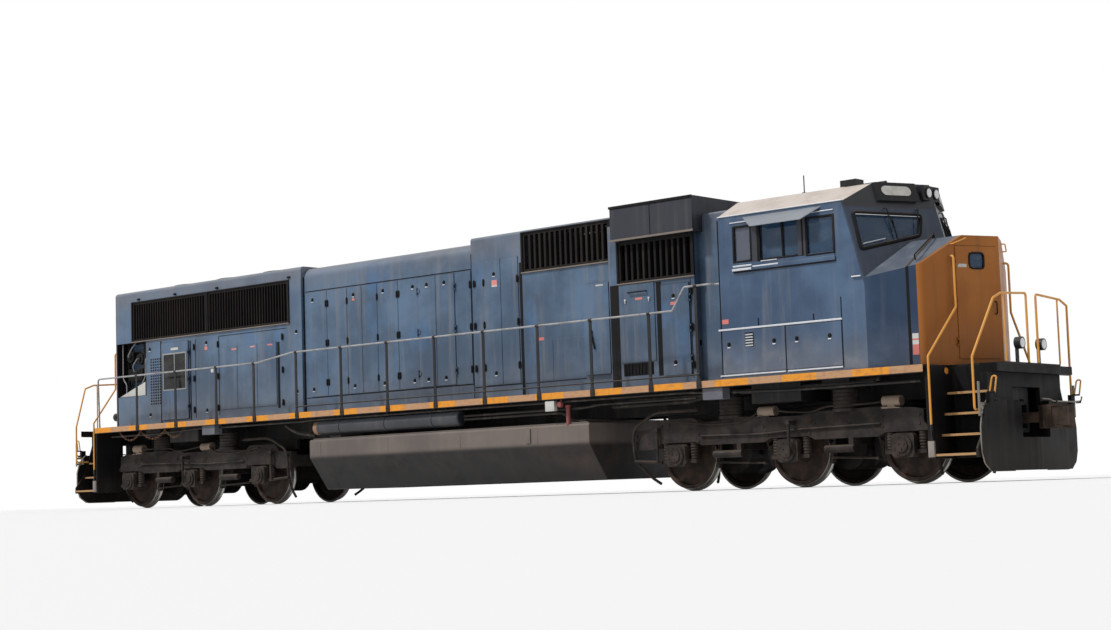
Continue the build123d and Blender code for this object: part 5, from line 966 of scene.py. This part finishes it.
dress(cab_paint, "navy_paint", "cab_shell")

# Cab side: lockers below a bright drip strip, black window frames, latches and a slatted vent.
CAB_SUNK = 0.005
# from X, to X, from Z, to Z
LOCKERS = ((6.34, 7.495, 1.775, 2.425), (7.515, 8.495, 1.775, 2.42))
STRIPS = ((6.275, 8.515, 2.44, 2.468), (6.28, 7.49, 1.735, 1.757), (7.53, 8.50, 1.735, 1.757),
          (6.56, 6.97, 4.085, 4.100), (8.06, 8.445, 4.078, 4.092), (6.33, 8.60, 4.200, 4.216))
CAB_SEAMS = ((6.312, 6.328, 1.72, 4.16), (7.497, 7.512, 1.76, 2.44), (8.500, 8.512, 1.74, 2.78),
             (7.012, 7.028, 2.47, 2.59), (8.010, 8.026, 2.47, 2.57))
# Sills and ledges under the windows, and a strip at the cab's front corner, in bright steel: their
# brightness is painted highlight along lit edges.
# the span of each sill and ledge under the windows, how proud it stands
LEDGES = (((6.60, 6.96, 3.338, 3.372), 0.050), ((6.60, 6.95, 3.40, 3.425), 0.024),
          ((6.97, 7.44, 3.372, 3.394), 0.030), ((7.12, 7.42, 3.443, 3.456), 0.024),
          ((8.72, 8.88, 3.044, 3.062), 0.035))
LONG_LEDGE, LATCH_XS = (6.60, 8.45, 3.334, 3.398), (6.461, 7.299, 7.709, 8.291)
SLAT_X, SLAT_ZS, SLAT_TILT = (6.775, 6.915), spread(2.175, 2.343, 5), Quaternion((1, 0, 0), radians(-24))
build("locker_doors", cab_paint, on_wall(LOCKERS, 0.007, 0.003, CAB_SUNK))
build("window_ledges", cab_paint, on_wall([LONG_LEDGE], 0.026, 0.006, CAB_SUNK))
ledges = [row for span, proud in LEDGES for row in on_wall([span], proud, 0.005, CAB_SUNK)]
slats = [slab(SLAT_X, skin(CAB_Y, 0, 0.020), (z, z + 0.018), 0.003, SLAT_TILT) for z in SLAT_ZS]
# Painted highlight: a bright strip under each locker latch.
glint_lips = [slab(about(x, 0.028), skin(CAB_Y, 0.004, 0.020), (2.165, 2.183), 0.004) for x in LATCH_XS]
build("cab_bright_strips", bright_steel_and_glints,
      on_wall(STRIPS, 0.016, 0.004, CAB_SUNK) + ledges + slats + glint_lips)

# from X, to X, bottom, top of each side window
SIDE_WINDOWS = ((6.63, 6.93, 3.49, 4.01), (7.10, 7.88, 3.48, 4.05), (7.97, 8.42, 3.46, 3.995))
WINDOW_BAR, WINDOW_LAP, FRAME_SUNK = 0.028, 0.004, 0.03
# the posts between the windows
POSTS = ((6.962, 7.062, 3.46, 4.05), (7.80, 7.874, 3.46, 4.07), (7.90, 7.94, 3.44, 4.02))
bars = []
for x0, x1, z0, z1 in SIDE_WINDOWS:
    bars += [(x0 - WINDOW_BAR, x0 + WINDOW_LAP, z0 - WINDOW_BAR, z1 + WINDOW_BAR),
             (x1 - WINDOW_LAP, x1 + WINDOW_BAR, z0 - WINDOW_BAR, z1 + WINDOW_BAR),
             (x0, x1, z0 - WINDOW_BAR, z0 + WINDOW_LAP), (x0, x1, z1 - WINDOW_LAP, z1 + WINDOW_BAR)]
build("cab_window_frames", black_and_shade, [
    *on_wall(CAB_SEAMS, 0.006, sunk=CAB_SUNK),
    *on_wall(bars, 0.012, 0.003, FRAME_SUNK),
    *on_wall([(7.060, 7.118, 3.452, 4.078), (7.872, 7.902, 3.452, 4.078)], 0.018, 0.004, FRAME_SUNK),
    *on_wall([(7.505, 7.535, 3.48, 4.05)], 0.004, 0.003, FRAME_SUNK),
    # Painted shadow: a black strip under the long window ledge.
    *on_wall([(6.60, 8.45, 3.312, 3.334)], 0.020, 0.003, CAB_SUNK),
    *[slab(about(x, 0.011), skin(CAB_Y, 0.008, 0.020), (2.205, 2.245), 0.003) for x in LATCH_XS],
    *on_wall([(6.765, 6.925, 2.165, 2.385)], 0.009, 0.002, sunk=0.0),
# Painted shade: a black disc for each locker latch's recess.
], [stub(x, 2.225, skin(CAB_Y, 0, 0.011), 0.034, 20) for x in LATCH_XS], smooth=40)
build("window_posts", box_paint, on_wall(POSTS, 0.014, 0.004))
build("cab_notices", notice_red,
      on_wall([(6.345, 6.465, 2.545, 2.615)], 0.003, 0.001, sunk=0.001))

# Windscreens: black rubber round sloping panes, wipers hung from above, and blank number plates.
# Y and height of the corners of a screen
SCREEN = ((1.39, 4.02), (0.29, 4.005), (0.40, 3.69), (1.42, 3.452))
BOARD_Y, BOARD_Z, BOARD_HALF, BOARD_ROUND, BOARD_OUT, BOARD_STEPS = 0.62, 4.357, 0.165, 0.072, 0.061, 14


def front_point(y, z, out=0.0):
    """A point on the cab's leaning front, or a little way out from it."""
    normal = Vector((1, FRONT_SLOPE * (1 if y > 0 else -1), FRONT_LEAN)).normalized()
    x = FRONT_FOOT + FRONT_SLOPE * (CAB_Y - abs(y)) - FRONT_LEAN * (z - BELT_Z)
    return Vector((x, y, z)) + normal * out


def on_front(points):
    """A run of pipe through points on the front, each with its distance out."""
    return [tuple(front_point(*point)) for point in points]


corners = on_front(SCREEN)
middle = tuple((Vector(corners[0]) + Vector(corners[1])) / 2)
rubber = [middle, *corners[1:], corners[0], middle]
pipework("screen_rubbers", mirrored([rubber]), 0.030, black_and_shade, turn=0.05)
pipework("wipers", mirrored([
    on_front([(0.86, 4.10, 0.0), (0.86, 4.09, 0.05), (0.80, 3.66, 0.035)]),
    on_front([(0.80, 3.92, 0.03), (0.80, 3.60, 0.02)]),
    on_front([(0.30, 4.10, 0.0), (0.34, 4.09, 0.05), (0.44, 3.72, 0.035)]),
]), 0.009, black_and_shade, turn=0.03)
# Painted reflections: bright lines across the top of each screen and along its lower outer corner.
pipework("screen_glints", mirrored([
    on_front([(1.37, 3.985, 0.026), (0.34, 3.975, 0.026)]),
    on_front([(1.38, 3.53, 0.030), (1.00, 3.62, 0.030)]),
]), 0.007, bright_steel_and_glints)

f = Finish("blank_plate")
plate_tone = f.noise(8, 5).ramp(0.3, 0.8).mix(tint(198, 196, 190), tint(168, 164, 156))
blank_plate = f.done(Base_Color=plate_tone, Roughness=0.4)
outline = []
for end in (1, -1):
    for turn in spread(-pi / 2, pi / 2, BOARD_STEPS + 1):
        y = BOARD_Y + end * (BOARD_HALF + BOARD_ROUND * cos(turn))
        outline.append((y, BOARD_Z + end * BOARD_ROUND * sin(turn)))
bm = bmesh.new()
add_prism(bm, *[[front_point(y, z, BOARD_OUT + out) for y, z in outline] for out in (0.004, -0.004)])
both_sides(bm)
finish_piece(bm, "number_plates", blank_plate)

# Nose: blue sides and back, and a yellow front that wraps round the corners.
FACET_SLOPE, YELLOW_FROM = 0.4453, 10.245
f = Finish("nose_paint")
blue, _, patch = weather(f, tint(30, 49, 74), tint(50, 72, 98), dust=tint(116, 120, 126), low=0.3, top=0.75,
                         streaks=0.2)
yellow, _, _ = weather(f, YELLOW, YELLOW_FADED, dust=YELLOW_DIRT, low=0.35, top=0.3, streaks=0.4)
front = (f.x + f.y.size() * FACET_SLOPE).ramp(YELLOW_FROM, YELLOW_FROM + 0.004)
nose_paint = coat(f, front.mix(blue, yellow), patch * 0.2 + 0.4, chips=0.4, shine=0.3)
dress(nose_paint, "yellow_paint", "nose_shell")
yellow_paint = painted("yellow_paint", YELLOW, YELLOW_FADED, dust=YELLOW_DIRT, low=0.35, streaks=0.4,
                       rough=0.4, shine=0.3)
dress(yellow_paint, "yellow_paint", "nose_door")

# Nose fittings: the rubber band round its joint with the cab, a black grab rod over the chamfer, a
# yellow grab iron, and a dark gasket with rounded corners round the door's window.
BAND_X, NOSE_MIDDLE_Z = (9.520, 9.560), 2.4
bm = bmesh.new()
bm.from_mesh(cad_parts["nose_shell"].data)
bmesh.ops.remove_doubles(bm, verts=bm.verts[:], dist=0.0002)
for x, outward in zip(BAND_X, (-1, 1)):
    geom = bm.verts[:] + bm.edges[:] + bm.faces[:]
    bmesh.ops.bisect_plane(bm, geom=geom, plane_co=(x, 0, 0), plane_no=(outward, 0, 0), clear_outer=True,
                           dist=1e-6)
inside = []
for face in bm.faces:
    _, y, z = face.calc_center_median()
    if face.normal.dot(Vector((0, y, z - NOSE_MIDDLE_Z))) < 0.05:
        inside.append(face)
bmesh.ops.delete(bm, geom=inside, context="FACES")
for vert, normal in [(vert, vert.normal.copy()) for vert in bm.verts]:
    vert.co += Vector((0, normal.y, normal.z)).normalized() * 0.005
finish_piece(bm, "nose_rubber", black_and_shade)

RIDGE_X, FACET_ALONG, FACET_OUT = 10.31, Vector((-0.4068, 0.9135, 0)), Vector((0.9135, 0.4068, 0))


def facet_point(s, z, out, side=-1):
    """A point s along the nose's front from its ridge, out from its face."""
    along, outward = FACET_ALONG.copy(), FACET_OUT.copy()
    along.y, outward.y = along.y * side, outward.y * side
    return Vector((RIDGE_X, 0, z)) + along * s + outward * out


def on_facet(points):
    """A run of pipe through points on the right half of the nose's front."""
    return [tuple(facet_point(*point)) for point in points]


pipework("nose_grab_rods", mirrored([
    [(9.62, 1.21, 3.23), (9.62, 1.25, 3.30), (9.60, 0.62, 3.66), (9.60, 0.60, 3.60)],
    [(9.60, 0.62, 3.66), (9.40, 0.30, 3.66), (9.40, 0.30, 3.59)],
]), 0.011, black_and_shade, turn=0.03)
grab_iron = on_facet([(0.86, 3.457, 0.0), (0.86, 3.457, 0.055), (0.62, 3.545, 0.055), (0.62, 3.545, 0.0)])
pipework("nose_grab_irons", mirrored([grab_iron]), 0.010, grip_paint, turn=0.02)

# Blank plates on the nose's flank, white over red: bottom, top
FLANK_X, FLANK_Y, FLANK_TURN = 9.617, 1.313, Quaternion((0, 0, 1), radians(-15.02))
WHITE_SPANS, RED_SPANS = ((2.0, 2.06), (2.085, 2.16)), ((1.85, 2.0), (2.06, 2.085))
for name, spans, finish in (("white", WHITE_SPANS, white_paint), ("red", RED_SPANS, notice_red)):
    build(f"flank_plates_{name}", finish,
          [slab(about(FLANK_X, 0.046), about(FLANK_Y, 0.004), span, turn=FLANK_TURN) for span in spans])

# Fittings that ride on the nose door: the window's gasket, the handle and a blank plate
DOOR_FACE, DOOR_WINDOW_S, DOOR_WINDOW_Z = 0.008, (0.29, 0.55), (3.105, 3.335)
DOOR_PLATE = ((0.60, 3.12), (0.76, 3.12), (0.76, 3.17), (0.60, 3.17))
(s0, s1), (z0, z1) = DOOR_WINDOW_S, DOOR_WINDOW_Z
loop = on_facet([(s, z, DOOR_FACE + 0.002) for s, z in ((s0, z0), (s1, z0), (s1, z1), (s0, z1))])
middle = tuple((Vector(loop[0]) + Vector(loop[3])) / 2)
pipework("nose_window_rubber", [[middle, *loop, middle]], 0.014, black_and_shade, turn=0.07,
         body="nose_door")
handle = on_facet([(0.12, 2.62, DOOR_FACE), (0.12, 2.62, 0.05), (0.12, 2.44, 0.05), (0.12, 2.44, DOOR_FACE)])
pipework("nose_door_handle", [handle], 0.010, black_and_shade, turn=0.02, body="nose_door")
bm = bmesh.new()
add_prism(bm, *[[facet_point(s, z, DOOR_FACE + out) for s, z in DOOR_PLATE] for out in (0.004, -0.001)])
finish_piece(bm, "nose_door_plate", white_paint, body="nose_door")

# Lamps: clear lenses over silvered bowls, two in the brow, two on the deck, two at the rear.
f = Finish("lamp_lens")
ribs = f.y.wave(700).ramp(-0.6, 0.8)
lamp_lens = f.done(Base_Color=ribs.mix(tint(186, 188, 190), tint(222, 224, 226)), Roughness=0.12,
                   Metallic=0.3, Coat_Weight=0.8)
# X of the face, Y, Z, radius, and 1 where the face looks ahead
LENSES = ((9.27, 0.11, 4.36, 0.07, 1), (10.785, 0.33, 1.975, 0.073, 1), (-9.98, 0.11, 4.25, 0.07, -1),
          (-10.785, 0.33, 1.975, 0.073, -1))
rods = []
for x, y, z, radius, facing in LENSES:
    rods.append(((x - facing * 0.004, y, z), (x + facing * 0.004, y, z), radius, 32, radius * 0.9))
    rods.append(((x + facing * 0.003, y, z), (x + facing * 0.008, y, z), radius * 0.9, 32, radius * 0.5))
build("lamp_lenses", lamp_lens, rods=rods, smooth=50)

# Glass: dark tinted safety glass with a film of dust.
SMALL_PANE_X = 6.96
f = Finish("cab_pane")
film = f.noise(3, 6, (1, 1, 2)).ramp(0.4, 0.8)
tinted = film.mix(tint(40, 66, 94), tint(66, 86, 106))
pane_tone = f.x.ramp(SMALL_PANE_X + 0.01, SMALL_PANE_X).mix(tinted, tint(92, 98, 112))
pane = f.done(Base_Color=pane_tone, Roughness=film * 0.12 + 0.04, Alpha=film * 0.10 + 0.70,
              Specular_IOR_Level=0.45)
dress(pane, "window_glass", "cab_glass", "nose_door_glass")

# Cab inside: grey consoles and seat bases.
lining = painted("cab_lining_paint", tint(92, 94, 90), tint(108, 108, 102), chips=0.1)
dress(lining, "cab_lining", "cab_fittings")

# Seats: two stuffed vinyl pads each, blown up as cloth so that they crown and their corners pull in.
f = Finish("seat_vinyl")
vinyl = f.done(Base_Color=f.noise(3, 5).mix(tint(46, 44, 42), tint(66, 62, 58)), Roughness=0.5,
               Normal=f.bump(f.noise(220, 3), 0.15))
SWELL_LIMIT, PAD_VOXEL, PAD_PRESSURE, CLOTH_FRAMES, SEAT_Y = 0.012, 0.010, 4.0, 20, 1.0
# low and high corner of the pad and of the back, about the seat's middle
PADS = {"pad": ((7.27, -0.23, 2.412), (7.73, 0.23, 2.488)),
        "back": ((7.27, -0.23, 2.50), (7.348, 0.23, 3.05))}


def stuffed(name, low, high):
    """A block that is remeshed fine, swollen as cloth under pressure, and smoothed by one subdivision."""
    bm = bmesh.new()
    add_block(bm, low, high, 0.02)
    pad = bpy.data.objects.new(name, to_mesh(bm, name))
    bpy.context.scene.collection.objects.link(pad)
    remesh = pad.modifiers.new("remesh", "REMESH")
    remesh.mode, remesh.voxel_size = "VOXEL", PAD_VOXEL
    pad.data = applied(pad)
    pad.modifiers.clear()
    still = [vert.co.copy() for vert in pad.data.vertices]
    cloth = pad.modifiers.new("cloth", "CLOTH")
    cloth.settings.use_pressure, cloth.settings.uniform_pressure_force = True, PAD_PRESSURE
    cloth.settings.effector_weights.gravity = 0.0
    for number in range(1, CLOTH_FRAMES + 1):
        bpy.context.scene.frame_set(number)
    swollen = applied(pad)
    pad.modifiers.clear()
    for vert, place in zip(swollen.vertices, still):
        moved = vert.co - place
        vert.co = place + moved.normalized() * min(moved.length, SWELL_LIMIT)
    pad.data = swollen
    bpy.context.scene.frame_set(1)
    smoother = pad.modifiers.new("smoother", "SUBSURF")
    smoother.levels = smoother.render_levels = 1
    mesh = applied(pad)
    bpy.data.objects.remove(pad)
    mesh.shade_smooth()
    mesh.materials.clear()
    return mesh


for kind, (low, high) in PADS.items():
    shape = stuffed(kind, low, high)
    for side, label in ((-1, "right"), (1, "left")):
        mesh = shape.copy()
        mesh.transform(Matrix.Translation((0, side * SEAT_Y, 0)))
        seat = link_piece(mesh, f"seat_{kind}_{label}", vinyl)
        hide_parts("seat_cushions")

# Driver's desks: two dark screens and the controller handles in their box on each console.
SCREEN_TILT, LEVER_YS = Quaternion((0, 1, 0), radians(-14)), (0.38, 0.43, 0.47)
screens = [slab((8.30, 8.36), about(y, 0.16), (2.86, 3.10), 0.01, SCREEN_TILT) for y in (0.60, 1.05)]
lever_box = slab((8.16, 8.28), (0.35, 0.50), (2.855, 2.93), 0.01)
levers = [((8.20, y, 2.92), (8.15, y, 3.04), 0.010, 10) for y in LEVER_YS]
knobs = [stub(8.155, 3.04, about(y, 0.016), 0.016, 12) for y in LEVER_YS]
build("desk_gear", black_and_shade, [*screens, lever_box], levers + knobs, smooth=40)

# Sunshades, roof gear and lamps.
shade_metal = painted("shade_metal", tint(112, 120, 130), tint(142, 148, 156), rough=0.35, top=0.2)
dress(shade_metal, "navy_paint", "sunshades")
lamp_paint = painted("lamp_paint", tint(22, 23, 26), tint(38, 38, 40), rough=0.45, top=0.3, streaks=0.1,
                     shine=0.25)
dress(lamp_paint, "black_paint", "roof_gear", "lamps")

# Handrails: grey pipe through the eyes of flat black posts, and yellow grips at the ends.
f = Finish("rail_paint")
worn = f.noise(12, 5, (0.3, 1, 1)).ramp(0.4, 0.7)
rail_tone = worn.mix(tint(148, 149, 152), tint(112, 108, 106))
rail_tone = (f.noise(30, 4).ramp(0.6, 0.7) * 0.6).mix(rail_tone, RUST)
rail_paint = f.done(Base_Color=rail_tone, Roughness=0.42, Normal=f.bump(f.noise(90, 3), 0.15))
dress(rail_paint, "rail_paint", "side_handrails")
post_paint = painted("post_paint", tint(24, 23, 25), tint(44, 39, 38), rough=0.5, chips=0.6, streaks=0.15,
                     shine=0.3)
dress(post_paint, "black_paint", "handrail_posts")
dress(grip_paint, "yellow_paint", "end_handrails")

# Feet and fittings of the rails: bolts through the post feet, a toe pipe along the walkway, black
# sleeves where the grips end.
POST_XS = (-8.385, -7.122, -5.847, -4.714, -3.49, -2.254, -1.044, 0.157, 1.337, 2.579, 3.74, 4.953, 5.899)
TOE_POSTS, TOE_Y, TOE_Z = POST_XS[4:], 1.569, 1.80
GRIP_X, GRIP_Y = 9.925, 1.5273
# from Z, to Z, radius and number of sides of each sleeve
SLEEVES = ((0.74, 0.83, 0.023, 16), (0.60, 0.65, 0.023, 16), (0.58, 0.76, 0.012, 12))
bolts = [stub(x + shift, 1.635, (1.57, 1.588), 0.011, 6) for x in POST_XS for shift in (-0.026, 0.026)]
eyes = [((x - 0.018, TOE_Y, TOE_Z), (x + 0.018, TOE_Y, TOE_Z), 0.019, 12) for x in TOE_POSTS]
build("post_bolts", post_paint, rods=bolts + eyes, smooth=40)
toe_pipe = [(TOE_POSTS[0] - 0.02, TOE_Y, TOE_Z), (TOE_POSTS[-1] + 0.02, TOE_Y, TOE_Z)]
pipework("toe_pipes", mirrored([toe_pipe]), 0.012, post_paint)
sleeves = [((GRIP_X, GRIP_Y, z0), (GRIP_X, GRIP_Y, z1), radius, sides) for z0, z1, radius, sides in SLEEVES]
build("grip_sleeves", post_paint, rods=sleeves, smooth=40, copies=four_corners)

# The studio: a pale floor, a white surround and soft lamps, with the camera low by the track.
CAMERA_PLACE, YAW, PITCH, ROLL = Vector((23.779, -25.488, 0.05)), 0.71529, 0.09204, -0.03257
FOCAL_PIXELS, FRAME_WIDTH, SENSOR = 1920.5, 1111, 36.0
bm = bmesh.new()
bmesh.ops.create_grid(bm, x_segments=1, y_segments=1, size=400.0)
floor_mesh = to_mesh(bm, "studio_floor")
floor = bpy.data.objects.new("studio_floor", floor_mesh)
bpy.context.scene.collection.objects.link(floor)
f = Finish("studio_floor")
floor_mesh.materials.append(f.done(Base_Color=tint(228, 228, 228), Roughness=0.9))

SKY, GLOSSY_SKY = 0.5, 0.75
world = bpy.data.worlds.new("studio")
bpy.context.scene.world = world
world.use_nodes = True
tree = world.node_tree
sky = tree.nodes["Background"]
start = Socket(tree)
RAYS = ("Is Camera Ray", "Is Glossy Ray", "Is Transmission Ray")
path = [start.node("LightPath", output=name) for name in RAYS]
seen = start.math("MAXIMUM", path[0], start.math("MAXIMUM", path[1] * GLOSSY_SKY, path[2]))
strength = seen * (1.0 - SKY) + SKY
tree.links.new(strength.out, sky.inputs["Strength"])
sky.inputs["Color"].default_value = (1.0, 1.0, 1.0, 1.0)

SUN_FROM, SUN_STRENGTH, SUN_ANGLE = Vector((-0.42, -0.66, 0.95)), 2.7, radians(5)
sun_data = bpy.data.lights.new("key", "SUN")
sun_data.energy, sun_data.angle = SUN_STRENGTH, SUN_ANGLE
sun = bpy.data.objects.new("key", sun_data)
sun.rotation_mode = "QUATERNION"
sun.rotation_quaternion = SUN_FROM.to_track_quat("Z", "Y")
bpy.context.scene.collection.objects.link(sun)

ahead = Vector((-sin(YAW) * cos(PITCH), cos(YAW) * cos(PITCH), sin(PITCH)))
level = Vector((cos(YAW), sin(YAW), 0))
over = level.cross(ahead)
right = cos(ROLL) * level + sin(ROLL) * over
up = cos(ROLL) * over - sin(ROLL) * level
camera_data = bpy.data.cameras.new("camera")
camera_data.sensor_width, camera_data.lens = SENSOR, FOCAL_PIXELS / FRAME_WIDTH * SENSOR
camera_data.clip_end = 1000.0
camera = bpy.data.objects.new("camera", camera_data)
camera.rotation_mode = "QUATERNION"
camera.rotation_quaternion = Matrix((right, up, -ahead)).transposed().to_quaternion()
camera.location = CAMERA_PLACE
bpy.context.scene.collection.objects.link(camera)
bpy.context.scene.camera = camera
bpy.context.scene.view_settings.view_transform = "Standard"
